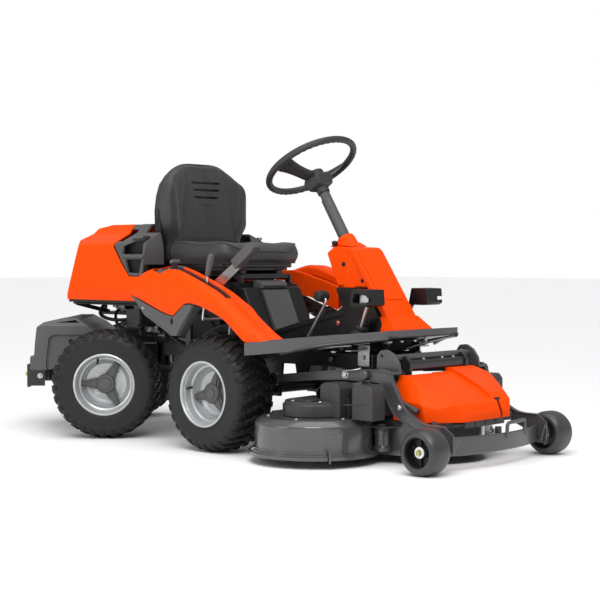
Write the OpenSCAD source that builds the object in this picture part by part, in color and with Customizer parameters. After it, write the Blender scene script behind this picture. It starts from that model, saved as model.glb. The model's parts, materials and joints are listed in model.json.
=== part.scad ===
// Front-deck riding mower with an articulated rear axle, in its turned rest pose.
// Machine frame: x to the machine's left, y to the rear, z up, y = 0 at the front axle.
// The outside frame is the same, moved so that its origin is under the middle of the whole.

/* [Wheels] */
// Radius of the drive tyres
tyre_r = 200; // [190:1:205]
// Width of the drive tyres
tyre_w = 165; // [140:1:168]
// Half of the track, wheel centre to symmetry plane
track_half = 375; // [370:1:380]
// Radius of the deck's support wheels
deck_wheel_r = 73; // [65:1:73]
// Width of the deck's support wheels
deck_wheel_w = 90; // [70:1:96]

/* [Articulation] */
// Distance of the articulation pin behind the front axle
pivot_y = 711; // [705:1:720]
// Distance of the rear axle behind the articulation pin
axle_back = 170; // [165:1:175]
// Angle of the rear bogie at rest
bogie_turn = 42.3; // [0:0.1:44]

/* [Steering] */
// Outer radius of the steering wheel
wheel_out_r = 174; // [165:1:176]
// Rake of the steering column from the vertical
column_rake = 32; // [30:0.5:34]

/* [Deck] */
// Radius of each blade
blade_r = 185; // [170:1:190]
// Radius of the deck's domes
dome_r = 195; // [194:1:197]
// Radius of the deck's bottom lip
lip_r = 216; // [210:1:217]
// Height of the lip's bottom edge above the ground
lip_z = 28; // [26:1:40]
// Height of the domes' top
dome_z = 150; // [149:1:151]

/* [Body] */
// Half width of the mudguards and footplate
body_half = 440; // [435:1:445]
// Half width of the engine hood
hood_half = 350; // [345:1:355]
// Half width of the seat
seat_half = 218; // [210:1:220]
// Wall of the moulded covers
wall = 4; // [3:0.5:5]
// Wall of the steel deck
sheet = 3; // [2:0.5:4]

/* [Hidden] */
$fn = 64;
// Middle of the whole object's box in the machine frame
middle_x = -13.6;
middle_y = 170.4;
orange = [0.95, 0.25, 0.02];
grey = [0.33, 0.33, 0.34];
black = [0.09, 0.09, 0.1];
silver = [0.72, 0.73, 0.72];
vinyl = [0.2, 0.2, 0.2];
axle_z = tyre_r;
stub_r = 10;
run_gap = 0.05;
pin_x = 226;
swing_y = -150;
swing_z = 250;
spindle_outer = [330, -400];
spindle_mid = [0, -600];
spindles = [[-spindle_outer[0], spindle_outer[1]], spindle_mid, spindle_outer];
shaft_r = 12.5;
pulley_r = 50;
hub_point = [0, -114, 937];
column_axis = [0, sin(column_rake), cos(column_rake)];
column_foot = hub_point - 390.4 * column_axis;
ring_rise = 60;
ring_tube = 12.5;
rest_wheel = [339, -864, deck_wheel_r];
seat_pin = [150, 591];
button_at = [-52, -240];
hood_pin = [913, 488];

// ---------- Frames and simple shapes ----------

module at_machine() translate([-middle_x, -middle_y, 0]) children();

// Bogie frame: x along its axle, y rearward from the articulation pin
module at_bogie() at_machine() translate([0, pivot_y, 0]) rotate([0, 0, bogie_turn]) children();

module at_column() at_machine() translate(hub_point) rotate([-column_rake, 0, 0]) children();

// A wheel's own axis is z, with its outer face up; side is -1 on the right and 1 on the left
module on_axle(side, x = track_half, y = 0, z = axle_z)
    translate([side * x, y, z]) rotate([0, side * 90, 0]) children();

module both() {
    children();
    mirror([1, 0, 0]) children();
}

module box(a, b) translate(a) cube(b - a);

// A profile in y and z, extruded from x0 to x1
module slab(x0, x1, profile)
    translate([x0, 0, 0]) rotate([90, 0, 90]) linear_extrude(x1 - x0) polygon(profile);

// A profile in x and z, extruded from y0 to y1
module face(y0, y1, profile)
    translate([0, y1, 0]) rotate([90, 0, 0]) linear_extrude(y1 - y0) polygon(profile);

// A round bar from a to b
module rod(a, b, r) {
    d = b - a;
    translate(a) rotate([0, acos(d[2] / norm(d)), atan2(d[1], d[0])]) cylinder(h = norm(d), r = r);
}

module rounded_rect(x0, x1, y0, y1, r) {
    translate([x0 + r, y0]) square([x1 - x0 - 2 * r, y1 - y0]);
    translate([x0, y0 + r]) square([x1 - x0, y1 - y0 - 2 * r]);
    for (x = [x0 + r, x1 - r], y = [y0 + r, y1 - r]) translate([x, y]) circle(r);
}

// ---------- Chassis ----------

module main_frame() color(black) at_machine() {
    fork_z = [232, 340];
    fork_t = 16;
    post_z = 470;
    both() {
        box([90, -480, 292], [130, 560, 340]);
        // Plates that carry the axle and the deck's swing pins
        difference() {
            slab(100, 112, [[-45, 292], [45, 292], [32, 172], [-32, 172]]);
            rod([90, 0, axle_z], [120, 0, axle_z], 20.2);
        }
        slab(112, 124, [[swing_y - 30, 292], [swing_y + 30, 292], [swing_y + 18, 228], [swing_y - 18, 228]]);
        // Outriggers with the pivots of the hand levers
        box([130, 215, 300], [312, 240, 330]);
        box([300, 215, 330], [312, 240, post_z]);
        rod([312, 230, 455], [342, 230, 455], 8);
        box([130, 48, 300], [250, 72, 330]);
        rod([240, 60, 340], [280, 60, 340], 6);
        box([238, 48, 330], [250, 72, 352]);
    }
    for (y = [-480, -30, 290, 520]) box([-90, y, 296], [90, y + 40, 336]);
    rod([-pin_x - 42, swing_y, swing_z], [pin_x + 42, swing_y, swing_z], 10);
    // Fork and pin of the articulation
    for (z = fork_z) box([-80, 540, z], [80, 766, z + fork_t]);
    box([-80, 540, 232], [80, 560, 356]);
    rod([0, pivot_y, 236], [0, pivot_y, 352], 15);
    // Bed that the engine stands on, and the hood's hinge ears
    difference() {
        box([-150, 560, 440], [150, 925, 452]);
        translate([0, 760, 430]) cylinder(h = 40, r = 30);
    }
    both() {
        box([40, 560, 356], [60, 640, 440]);
        difference() {
            box([130, 902, 452], [140, 921, 497]);
            rod([120, hood_pin[0], hood_pin[1]], [150, hood_pin[0], hood_pin[1]], 5.05);
        }
    }
    // Shaft that the pedals turn on
    rod([-200, -400, 362], [200, -400, 362], 8);
    rod([-200, -186, 358], [-120, -186, 358], 8);
    both() box([99, -412, 340], [107, -388, 374]);
    box([-128, -196, 340], [-120, -176, 368]);
}

module front_axle() color(black) at_machine() {
    difference() {
        rod([-245, 0, axle_z], [245, 0, axle_z], 20);
        for (s = [-1, 1]) rod([s * 205, 0, axle_z], [s * 250, 0, axle_z], stub_r + run_gap);
    }
    for (s = [-1, 1]) rod([s * 206, 0, axle_z], [s * (track_half + 34), 0, axle_z], stub_r);
}

// The footplate rises to the front; its rim hangs lower at the back
foot_side = [[-186, 339], [-186, 381], [-330, 396], [-600, 426], [-600, 402], [-330, 352]];

module foot_outline(inset = 0) polygon([
    [-body_half + inset, -186 - inset], [-body_half + inset, -300], [-190 + inset, -590 + inset],
    [-120, -600 + inset], [120, -600 + inset], [190 - inset, -590 + inset],
    [body_half - inset, -300], [body_half - inset, -186 - inset]
]);

module footplate() color(grey) at_machine() difference() {
    intersection() {
        slab(-body_half, body_half, foot_side);
        translate([0, 0, 330]) linear_extrude(120) foot_outline();
    }
    // Hollow underside
    intersection() {
        translate([0, 0, -wall]) slab(-body_half, body_half, foot_side);
        translate([0, 0, 300]) linear_extrude(160) foot_outline(wall);
    }
    // Rear edge is open between the mudguards
    box([-290, -200, 330], [290, -180, 400]);
    // Slots of the pedals
    for (s = [-1, 1]) box([s * 120 - 12, -490, 380], [s * 120 + 12, -384, 430]);
    box([-162, -270, 370], [-138, -180, 400]);
    // Room for the console and the tunnel
    box([-81, -560, 330], [81, -180, 440]);
}

console_out = [[-218, 680], [-254, 702], [-333, 698], [-545, 410], [-500, 410], [-398, 562], [-266, 566]];
console_in = [[-226, 676], [-256, 694], [-329, 691], [-536, 405], [-508, 405], [-402, 558], [-272, 560]];

module steering_console() color(orange) at_machine() difference() {
    union() {
        slab(-77, 77, console_out);
        rod([0, -291, 654], [0, -240, 736], 32);
    }
    slab(-77 + wall, 77 - wall, console_in);
    rod(column_foot, hub_point, 18);
    translate([button_at[0], button_at[1], 660]) cylinder(h = 60, r = 6 + 4 * run_gap);
}

tunnel_out = [[-262, 559], [-298, 484], [-112, 440], [20, 405], [20, 345], [-470, 345], [-497, 405], [-400, 556]];
tunnel_in = [[-268, 554], [-304, 480], [-114, 435], [16, 400], [16, 340], [-466, 340], [-490, 403], [-398, 551]];

module console_tunnel() color(black) at_machine() difference() {
    slab(-76, 76, tunnel_out);
    slab(-76 + wall, 76 - wall, tunnel_in);
    box([-60, -475, 300], [60, -440, 360]);
    rod([-200, -400, 362], [200, -400, 362], 8.3);
}

module steering_column() color(black) at_machine() difference() {
    rod(column_foot, hub_point - 57 * column_axis, 17);
    rod(column_foot - 38 * column_axis, hub_point, 8 + run_gap);
}

module seat_pedestal() color(black) at_machine() {
    difference() {
        box([-150, 152, 342], [150, 440, 576]);
        box([-145, 157, 330], [145, 435, 571]);
        // Notches over the frame rails' cross member
        box([-132, 100, 330], [132, 500, 345]);
    }
    both() difference() {
        box([121, 140, 560], [130, 162, 601]);
        rod([110, seat_pin[0], seat_pin[1]], [140, seat_pin[0], seat_pin[1]], 5 + run_gap);
    }
}

module front_cover() color(grey) at_machine() difference() {
    slab(-65, 65, [[26, 408], [100, 562], [104, 570], [146, 574], [146, 408]]);
    slab(-65 + wall, 65 - wall, [[32, 400], [104, 556], [108, 565], [160, 570], [160, 400]]);
}

module battery() color([0.12, 0.12, 0.13]) at_machine() {
    box([-95, 200, 346], [95, 330, 500]);
    for (x = [-65, 65]) translate([x, 225, 500]) cylinder(h = 12, r = 8);
}

module fuel_tank() color([0.8, 0.8, 0.76]) at_machine() {
    box([175, 252, 420], [283, 430, 575]);
    translate([228, 360, 575]) cylinder(h = 18, r = 26);
    translate([228, 360, 593]) cylinder(h = 14, r = 32);
}

module engine_block() color(silver) at_machine() {
    box([-120, 600, 452], [120, 860, 540]);
    // Two finned cylinders, with their fins as plates
    for (s = [-1, 1]) {
        for (k = [0:4]) box([s * (128 + 14 * k) - 3, 640, 462], [s * (128 + 14 * k) + 3, 760, 560]);
        rod([s * 115, 700, 510], [s * 190, 700, 510], 38);
        box([s * 202 - 12, 650, 468], [s * 202 + 12, 750, 552]);
    }
    translate([0, 740, 540]) cylinder(h = 70, r = 118);
    translate([0, 740, 610]) cylinder(h = 40, r = 90);
    box([-100, 800, 560], [100, 870, 650]);
}

module muffler() color(black) at_machine() {
    box([-255, 560, 400], [-165, 640, 480]);
    rod([-210, 600, 385], [-210, 600, 400], 16);
    rod([-180, 620, 478], [-180, 620, 500], 14);
}

hood_side = [
    [453, 496], [878, 500], [930, 512], [915, 607], [895, 675], [870, 725], [850, 775],
    [760, 790], [645, 790], [628, 703], [517, 593], [450, 594]
];
hood_side_in = [
    [440, 490], [878, 490], [924, 490], [911, 604], [891, 673], [866, 722], [846, 771],
    [759, 786], [600, 786], [590, 703], [500, 600], [440, 600]
];
hood_section = [
    [-350, 490], [-345, 560], [-322, 712], [-235, 757], [-200, 790], [200, 790],
    [235, 757], [322, 712], [345, 560], [350, 490]
];

// Section of the hood at one height, with the rear corners cut off
module hood_plan(inset = 0) polygon([
    [-hood_half + inset, 300], [-hood_half + inset, 872], [-300, 932 - inset],
    [300, 932 - inset], [hood_half - inset, 872], [hood_half - inset, 300]
]);

module hood_form(side, inset) intersection() {
    slab(-hood_half, hood_half, side);
    face(300, 940, [for (p = hood_section) [p[0] * (hood_half - inset) / hood_half, p[1] - inset]]);
    translate([0, 0, 480]) linear_extrude(330) hood_plan(inset);
}

module engine_hood() color(orange) at_machine() {
    difference() {
        hood_form(hood_side, 0);
        hood_form(hood_side_in, wall);
        box([-hood_half - 1, 440, 485], [hood_half + 1, 926, 500]);
    }
    difference() {
        both() box([143, 903, 480], [151, 924, 520]);
        rod([-160, hood_pin[0], hood_pin[1]], [160, hood_pin[0], hood_pin[1]], 4.9);
    }
    both() rod([126, hood_pin[0], hood_pin[1]], [156, hood_pin[0], hood_pin[1]], 5);
}

intake_side = [
    [447, 596.5], [515, 596.5], [625, 706], [641, 788], [548, 788], [500, 777], [462, 752], [448, 700], [446, 640]
];
window_low = [[546, 656], [524, 610], [463, 608], [458, 656]];
window_high = [[570, 678], [572, 702], [530, 720], [467, 732], [460, 678]];

module intake_grille() color(grey) at_machine() difference() {
    intersection() {
        slab(-345, 345, intake_side);
        face(340, 660, [for (p = hood_section) [p[0] * 0.985, p[1]]]);
    }
    intersection() {
        slab(-345, 345, [for (p = intake_side) p + [0, -5]]);
        face(340, 660, [for (p = hood_section) [p[0] * 0.97, p[1] - 5]]);
    }
    // Bay that the seat's back stands in
    box([-232, 340, 590], [232, 548, 800]);
    // Room behind for the engine, under the hood
    for (w = [window_low, window_high]) for (k = [0:3])
        intersection() {
            slab(-350, 350, w);
            box([-350, 460 + 28 * k, 590], [350, 480 + 28 * k, 760]);
        }
}

fender_side = [
    [402, 526], [399, 557], [369, 600], [322, 618], [240, 632], [150, 612], [83, 592], [-46, 541], [-98, 505],
    [-181, 449], [-271, 390], [-220, 384], [-175, 384], [-139, 410], [-108, 434], [-66, 462], [24, 493],
    [79, 506], [112, 504], [173, 461], [367, 522]
];

module fender() difference() {
    slab(-body_half, -345, fender_side);
    slab(-body_half - 1, -340, foot_side);
    translate([wall, 0, -5]) slab(-body_half, -340, fender_side);
    // Slot of the height lever
    box([-407, -64, 480], [-387, 184, 640]);
    // Recess of the throttle panel
    box([-432, 165, 596], [-350, 300, 660]);
}

module right_fender() color(orange) at_machine() fender();

module left_fender() color(orange) at_machine() mirror([1, 0, 0]) difference() {
    slab(-body_half, -345, fender_side);
    slab(-body_half - 1, -340, foot_side);
    translate([wall, 0, -5]) slab(-body_half, -340, fender_side);
}

module side_trims() color(grey) at_machine() both() difference() {
    slab(-435.8, -430, [
        [363, 520], [173, 461], [112, 504], [79, 506], [72, 495], [156, 394], [178, 394], [322, 459], [345, 497]
    ]);
    rod([-440, 178, 440], [-420, 178, 440], 8);
}

module throttle_panel() color(grey) at_machine() difference() {
    box([-431, 160, 590], [-346, 305, 595]);
    box([-396, 190, 580], [-384, 236, 600]);
    translate([-366, 282, 580]) cylinder(h = 30, r = 4.05);
}

module control_rods() color(silver) at_machine() {
    rod([-175, -470, 385], [-175, -260, 366], 4);
    rod([-215, -430, 378], [-215, -240, 360], 3);
    rod([160, -470, 385], [160, -260, 366], 4);
    for (s = [-1, 1]) rod([s * 190, 30, 352], [s * 190, 420, 362], 5);
}

module engine_pulley() color(silver) at_machine() {
    difference() {
        union() {
            translate([0, 760, 372]) cylinder(h = 6, r = 62);
            translate([0, 760, 378]) cylinder(h = 12, r = 54);
            translate([0, 760, 390]) cylinder(h = 6, r = 62);
        }
        translate([0, 760, 360]) cylinder(h = 50, r = shaft_r);
    }
    translate([0, 760, 366]) cylinder(h = 85.7, r = shaft_r);
}

// ---------- Rear bogie ----------

module bogie_frame() color(black) at_bogie() {
    difference() {
        union() {
            translate([0, 0, 248.3]) cylinder(h = 91.4, r = 30);
            box([-45, 20, 262], [45, 118, 326]);
        }
        translate([0, 0, 240]) cylinder(h = 110, r = 15 + run_gap);
    }
    box([-118, 118, 262], [118, 150, 310]);
    both() {
        box([98, 150, 268], [118, 486, 300]);
        box([98, 140, 226], [118, 200, 268]);
        box([98, 470, 200], [118, 486, 268]);
    }
}

module transaxle() color([0.5, 0.51, 0.52]) at_bogie() {
    box([-96, 105, 140], [96, 235, 255]);
    translate([0, axle_back, 255]) cylinder(h = 7, r = 40);
    for (s = [-1, 1]) difference() {
        rod([s * 96, axle_back, axle_z], [s * 285, axle_back, axle_z], 24);
        rod([s * 150, axle_back, axle_z], [s * 290, axle_back, axle_z], stub_r + run_gap);
    }
}

cover_side = [[223, 375], [312, 434], [430, 421], [462, 400], [475, 238], [400, 238], [300, 330], [223, 350]];
cover_in = [[231, 340], [231, 372], [314, 428], [427, 416], [456, 396], [471, 230], [400, 230], [296, 322]];

module rear_cover() color(grey) at_bogie() difference() {
    slab(-240, 240, cover_side);
    slab(-240 + wall, 240 - wall, cover_in);
    // Gaps round the ends of the frame's side rails
    both() box([97, 390, 195], [119, 490, 301]);
}

module tow_bracket() color(black) at_bogie() {
    difference() {
        union() {
            box([-120, 513, 159], [120, 521, 250]);
            both() box([112, 486.3, 165], [120, 513, 245]);
            both() box([98, 486.3, 165], [112, 492, 245]);
        }
        for (x = [-60, 60]) translate([x, 505, 204]) rotate([-90, 0, 0]) cylinder(h = 30, r = 6.5);
    }
    // Hitch pin with its free end to the rear
    translate([0, 521, 204]) rotate([-90, 0, 0]) cylinder(h = 30, r = 8);
}

// ---------- Wheels ----------

module tyre() color(black) difference() {
    rotate_extrude() polygon([
        [103.5, -72], [112, -80], [128, -82.5], [165, -82], [186, -76], [196, -60], [tyre_r, -30],
        [tyre_r, 30], [196, 60], [186, 76], [165, 82], [128, 82.5], [112, 80], [103.5, 72]
    ]);
    translate([0, 0, 76]) rotate_extrude() square([110.6, 12]);
    translate([0, 0, -88]) rotate_extrude() square([110.6, 12]);
}

module rim(reach) color(silver) {
    rotate_extrude() polygon([
        [stub_r + run_gap, -45], [28, -45], [30, 8], [97, 14], [97, -66], [104, -79], [110, -79],
        [110, -76.4], [102.5, -71], [102.5, 71], [110, 76.4], [110, 79], [104, 79], [97, 66], [97, 20],
        [30, 14], [26, 22], [26, 30], [stub_r + run_gap, 30]
    ]);
    // Driven axle shaft of a rear wheel
    if (reach > 0) translate([0, 0, -reach]) cylinder(h = reach + 34, r = stub_r);
}

module hub_cover() color(grey) difference() {
    union() {
        translate([0, 0, 30]) cylinder(h = 20, r = 34);
        for (a = [90, 210, 330]) rotate([0, 0, a]) translate([20, 0, 24]) linear_extrude(14)
            polygon([[0, -24], [30, -20], [74, -9], [74, 9], [30, 20], [0, 24]]);
    }
    translate([0, 0, 20]) cylinder(h = 24, r = 27);
}

// Right wheels have side -1
module tyre_front_right() at_machine() on_axle(-1) tyre();
module tyre_front_left() at_machine() on_axle(1) tyre();
module tyre_rear_right() at_bogie() on_axle(-1, y = axle_back) tyre();
module tyre_rear_left() at_bogie() on_axle(1, y = axle_back) tyre();
module rim_front_right() at_machine() on_axle(-1) rim(0);
module rim_front_left() at_machine() on_axle(1) rim(0);
module rim_rear_right() at_bogie() on_axle(-1, y = axle_back) rim(track_half - 160);
module rim_rear_left() at_bogie() on_axle(1, y = axle_back) rim(track_half - 160);
module hub_cover_front_right() at_machine() on_axle(-1) hub_cover();
module hub_cover_front_left() at_machine() on_axle(1) hub_cover();
module hub_cover_rear_right() at_bogie() on_axle(-1, y = axle_back) hub_cover();
module hub_cover_rear_left() at_bogie() on_axle(1, y = axle_back) hub_cover();

module deck_wheel(side) color(black) at_machine()
    translate([side * rest_wheel[0], rest_wheel[1], rest_wheel[2]]) rotate([0, side * 90, 0])
    rotate_extrude() polygon([
        [8 + run_gap, -40], [20, -40], [20, -12], [48, -12], [48, -44], [56, -45], [68, -36],
        [deck_wheel_r, -16], [deck_wheel_r, 16], [68, 36], [56, 45], [48, 44], [48, 8], [20, 8], [20, 24],
        [8 + run_gap, 24]
    ]);

module deck_wheel_right() deck_wheel(-1);
module deck_wheel_left() deck_wheel(1);

// ---------- Steering wheel ----------

module steering_wheel() color(vinyl) at_column() {
    translate([0, 0, ring_rise]) rotate_extrude($fn = 96)
        translate([wheel_out_r - ring_tube, 0]) circle(ring_tube, $fn = 32);
    difference() {
        both() face(-27, 27, [[0, 0], [0, 20], [40, 26], [152, 64], [152, 54], [60, 10]]);
        translate([0, 0, -5]) cylinder(h = 40, r = 30.2);
    }
}

module steering_hub() color(vinyl) at_column() {
    difference() {
        union() {
            translate([0, 0, -36]) cylinder(h = 36, r = 42);
            cylinder(h = 32, r = 30);
        }
        translate([0, 0, -60]) cylinder(h = 70, r = 8);
    }
    translate([0, 0, -385]) cylinder(h = 395, r = 8);
}

// ---------- Seat ----------

module seat_bracket() color(black) at_machine() {
    box([-118, 147, 596], [118, 425, 604]);
    rod([-118, seat_pin[0], seat_pin[1]], [118, seat_pin[0], seat_pin[1]], 8);
    rod([-131, seat_pin[0], seat_pin[1]], [131, seat_pin[0], seat_pin[1]], 5);
}

module seat_pan() color(black) at_machine() {
    difference() {
        translate([0, 0, 618]) linear_extrude(24) rounded_rect(-195, 195, 150, 452, 50);
        translate([0, 0, 610]) linear_extrude(28) rounded_rect(-190, 190, 155, 447, 45);
    }
    both() box([80, 165, 604.4], [110, 440, 638]);
}

module seat_cushion() color(vinyl) at_machine() difference() {
    translate([0, 0, 642.3]) linear_extrude(64) rounded_rect(-seat_half, seat_half, 122, 452, 70);
    translate([0, 0, 700]) linear_extrude(20) rounded_rect(-130, 130, 190, 470, 40);
}

module seat_backrest() color(vinyl) at_machine() {
    side = [[453, 650], [440, 722], [446, 835], [470, 1010], [486, 1023], [518, 1018], [522, 900], [505, 650]];
    top = [
        [-215, 650], [-200, 715], [-seat_half, 835], [-208, 930], [-170, 990], [-80, 1023], [80, 1023],
        [170, 990], [208, 930], [seat_half, 835], [200, 715], [215, 650]
    ];
    difference() {
        intersection() {
            slab(-seat_half, seat_half, side);
            face(430, 530, top);
        }
        // Seat of the cushion's rear edge
        translate([0, 0, 640]) linear_extrude(66.3) rounded_rect(-seat_half, seat_half, 122, 452, 70);
    }
}

// ---------- Controls ----------

module throttle_lever() color(grey) at_machine() {
    rod([-396, 212, 585], [-385, 212, 585], 3);
    rod([-390, 212, 575], [-390, 210, 636], 4);
    rod([-408, 209, 642], [-372, 209, 642], 9);
}

module height_lever() color(silver) at_machine() {
    difference() {
        union() {
            rod([-278, 60, 340], [-256, 60, 340], 12);
            rod([-267, 60, 348], [-267, 60, 452], 6);
        }
        rod([-290, 60, 340], [-245, 60, 340], 6 + run_gap);
    }
    rod([-270, 60, 450], [-397, 60, 450], 5);
    rod([-397, 60, 450], [-396, 34, 610], 4);
    rod([-396, 36, 600], [-394, 18, 677], 13);
}

module lift_lever() color(grey) at_machine() {
    difference() {
        union() {
            rod([-318, 230, 455], [-338, 230, 455], 22);
            slab(-334, -326, [[240, 464], [220, 440], [60, 548], [-40, 620], [-28, 640], [78, 568]]);
        }
        rod([-300, 230, 455], [-350, 230, 455], 8 + run_gap);
    }
    slab(-352, -308, [[-36, 614], [-128, 678], [-142, 700], [-122, 716], [-14, 644]]);
}

module pedal(pad_x0, pad_x1) difference() {
    union() {
        slab(pad_x0, pad_x1, [[-434, 517], [-451, 556], [-515, 544], [-529, 521], [-499, 503], [-438, 504]]);
        rod([-120, -400, 362], [-120, -444, 505], 7);
        rod([-132, -400, 362], [-108, -400, 362], 14);
    }
    rod([-140, -400, 362], [-100, -400, 362], 8 + run_gap);
    // Hollow outer end of the pad
    slab(pad_x0 - 1, pad_x0 + 30, [[-446, 515], [-457, 545], [-508, 537], [-520, 521], [-497, 509]]);
}

module drive_pedal() color(black) at_machine() pedal(-199, -112);
module brake_pedal() color(black) at_machine() mirror([1, 0, 0]) pedal(-199, -112);

module reverse_pedal() color(silver) at_machine() {
    difference() {
        union() {
            rod([-162, -186, 358], [-138, -186, 358], 14);
            rod([-150, -188, 366], [-150, -286, 511], 5);
        }
        rod([-170, -186, 358], [-130, -186, 358], 8 + run_gap);
    }
    rod([-150, -286, 508], [-150, -264, 540], 5);
    rod([-172, -268, 532], [-128, -268, 532], 18);
}

module lock_button() color(black) at_machine() translate([button_at[0], button_at[1], 0]) {
    translate([0, 0, 680]) cylinder(h = 28, r = 6);
    translate([0, 0, 708]) cylinder(h = 14, r = 10);
}

module ignition_key() color(silver) at_machine() translate([-366, 282, 0]) {
    translate([0, 0, 578]) cylinder(h = 22, r = 4);
    box([-2, -10, 600], [2, 10, 622]);
}

// ---------- Cutting equipment ----------

arm_side = [
    [-132, 262], [-400, 292], [-519, 298], [-649, 302], [-668, 266], [-698, 217], [-724, 183], [-792, 146],
    [-875, 141], [-905, 118], [-908, 56], [-845, 52], [-778, 112], [-710, 149], [-668, 179], [-626, 253],
    [-606, 265], [-519, 269], [-395, 261], [-132, 236]
];

// One quarter of the flat bar that joins the arms at the front
module front_bar() difference() {
    intersection() {
        translate([0, -300, 55]) cylinder(h = 50, r = 626, $fn = 128);
        box([-262, -940, 50], [262, -780, 110]);
    }
    translate([0, -300, 50]) cylinder(h = 60, r = 618, $fn = 128);
}

module equipment_frame() color(grey) at_machine() {
    both() {
        difference() {
            union() {
                slab(250, 262, arm_side);
                rod([250, swing_y, swing_z], [262, swing_y, swing_z], 22);
            }
            rod([240, swing_y, swing_z], [270, swing_y, swing_z], 10 + run_gap);
        }
        // Quarter-round plate that holds the cross tube
        difference() {
            slab(208, 216, [[-568, 292], [-571, 345], [-586, 362], [-614, 367], [-643, 350], [-660, 325], [-666, 292]]);
            rod([200, -590, 345], [230, -590, 345], 5);
        }
        box([208, -664, 292], [250, -568, 298]);
        // Bracket and pin of the support wheel
        box([262, -892, 48], [284, -836, 100]);
        rod([284, rest_wheel[1], rest_wheel[2]], [rest_wheel[0] + 30, rest_wheel[1], rest_wheel[2]], 8);
    }
    rod([-208, -617, 338], [208, -617, 338], 12);
    front_bar();
    // Hand loop on the front bar
    rod([0, -928, 98], [0, -928, 136], 6);
    rod([118, -914, 98], [118, -914, 136], 6);
    rod([-6, -929, 136], [124, -913, 136], 6);
}

module deck_plan(r) {
    for (p = spindles) translate(p) circle(r, $fn = 96);
    polygon([spindles[0], spindles[1], spindles[2], spindles[2] + [0, r], spindles[0] + [0, r]]);
}

module deck_shell() color(grey) at_machine() difference() {
    union() {
        translate([0, 0, lip_z + 20]) linear_extrude(dome_z - lip_z - 20) deck_plan(dome_r);
        translate([0, 0, lip_z]) linear_extrude(22) deck_plan(lip_r);
        // Bearing housings of the spindles
        for (p = spindles) translate([p[0], p[1], 100]) cylinder(h = 56, r = 28);
    }
    difference() {
        translate([0, 0, lip_z - 1]) linear_extrude(dome_z - lip_z - sheet + 1) deck_plan(dome_r - sheet);
        for (p = spindles) translate([p[0], p[1], 100]) cylinder(h = 60, r = 28);
    }
    // Lip flares outward under the wall
    translate([0, 0, lip_z - 1]) linear_extrude(18) deck_plan(lip_r - sheet);
    for (p = spindles) translate([p[0], p[1], 50]) cylinder(h = 120, r = shaft_r + run_gap);
}

module cover_plan(r) {
    for (p = spindles) translate(p) circle(r);
    polygon([
        spindles[0] + [0, r], spindles[0] - [0, r], spindles[1] - [60, r], spindles[1] + [60, -r],
        spindles[2] - [0, r], spindles[2] + [0, r]
    ]);
}

module belt_cover() color(grey) at_machine() {
    difference() {
        translate([0, 0, dome_z + 0.3]) linear_extrude(50) cover_plan(107);
        translate([0, 0, dome_z - 1]) linear_extrude(49) cover_plan(103);
    }
    // Two upright shields on the right half
    for (y = [-528, -664]) difference() {
        slab(-350, -290, [for (p = [[0, 0], [0, 52], [20, 62], [60, 62], [100, 46], [124, 0]]) [y + 124 - p[0], 200.6 + p[1]]]);
        slab(-345, -295, [for (p = [[5, -1], [5, 49], [21, 58], [58, 58], [97, 43], [118, -1]]) [y + 124 - p[0], 200.6 + p[1]]]);
    }
}

// The guard is a hood over the middle spindle's front half, open below and behind
module guard_form(inset, rear, low) intersection() {
    slab(-230, 230, [
        [rear, 298 - inset], [-668, 298 - inset], [-790 + inset, 224 - inset], [-852 + inset, low], [rear, low]
    ]);
    face(-860, rear, [
        [-219 + inset, low], [-226 + inset, 200], [-178 + inset, 298 - inset],
        [178 - inset, 298 - inset], [226 - inset, 200], [219 - inset, low]
    ]);
    translate([0, 0, low]) linear_extrude(300 - low) polygon([
        [-226 + inset, rear], [-226 + inset, -748], [-120 + inset, -862 + inset],
        [120 - inset, -862 + inset], [226 - inset, -748], [226 - inset, rear]
    ]);
}

module belt_guard() color(orange) at_machine() difference() {
    guard_form(0, -641, 143);
    guard_form(wall, -630, 140);
}

module deck_belt() color(black) at_machine() translate([0, 0, 164]) linear_extrude(12) difference() {
    hull() for (p = spindles) translate(p) circle(pulley_r + 8);
    hull() for (p = spindles) translate(p) circle(pulley_r + 0.6);
}

module blade(p, turn) color(silver) at_machine() translate([p[0], p[1], 0]) {
    cylinder_z = [54, 188];
    translate([0, 0, cylinder_z[0]]) cylinder(h = cylinder_z[1] - cylinder_z[0], r = shaft_r);
    // Cutting blade
    difference() {
        rotate([0, 0, turn]) box([-blade_r, -28, 60], [blade_r, 28, 65]);
        translate([0, 0, 50]) cylinder(h = 30, r = shaft_r);
    }
    // Pulley
    difference() {
        union() {
            translate([0, 0, 158]) cylinder(h = 5, r = pulley_r + 7);
            translate([0, 0, 163]) cylinder(h = 14, r = pulley_r);
            translate([0, 0, 177]) cylinder(h = 5, r = pulley_r + 7);
        }
        translate([0, 0, 150]) cylinder(h = 40, r = shaft_r);
    }
}

module blade_right() blade(spindles[0], 30);
module blade_middle() blade(spindles[1], 30);
module blade_left() blade(spindles[2], 30);

main_frame();
front_axle();
footplate();
steering_console();
console_tunnel();
steering_column();
seat_pedestal();
front_cover();
battery();
fuel_tank();
engine_block();
muffler();
intake_grille();
right_fender();
left_fender();
side_trims();
throttle_panel();
control_rods();
engine_pulley();
bogie_frame();
transaxle();
rear_cover();
tow_bracket();
tyre_front_right();
tyre_front_left();
tyre_rear_right();
tyre_rear_left();
rim_front_right();
rim_front_left();
rim_rear_right();
rim_rear_left();
hub_cover_front_right();
hub_cover_front_left();
hub_cover_rear_right();
hub_cover_rear_left();
steering_wheel();
steering_hub();
seat_bracket();
seat_pan();
seat_cushion();
seat_backrest();
engine_hood();
throttle_lever();
height_lever();
lift_lever();
drive_pedal();
reverse_pedal();
brake_pedal();
lock_button();
ignition_key();
equipment_frame();
deck_shell();
belt_cover();
belt_guard();
deck_belt();
blade_right();
blade_middle();
blade_left();
deck_wheel_right();
deck_wheel_left();
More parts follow.
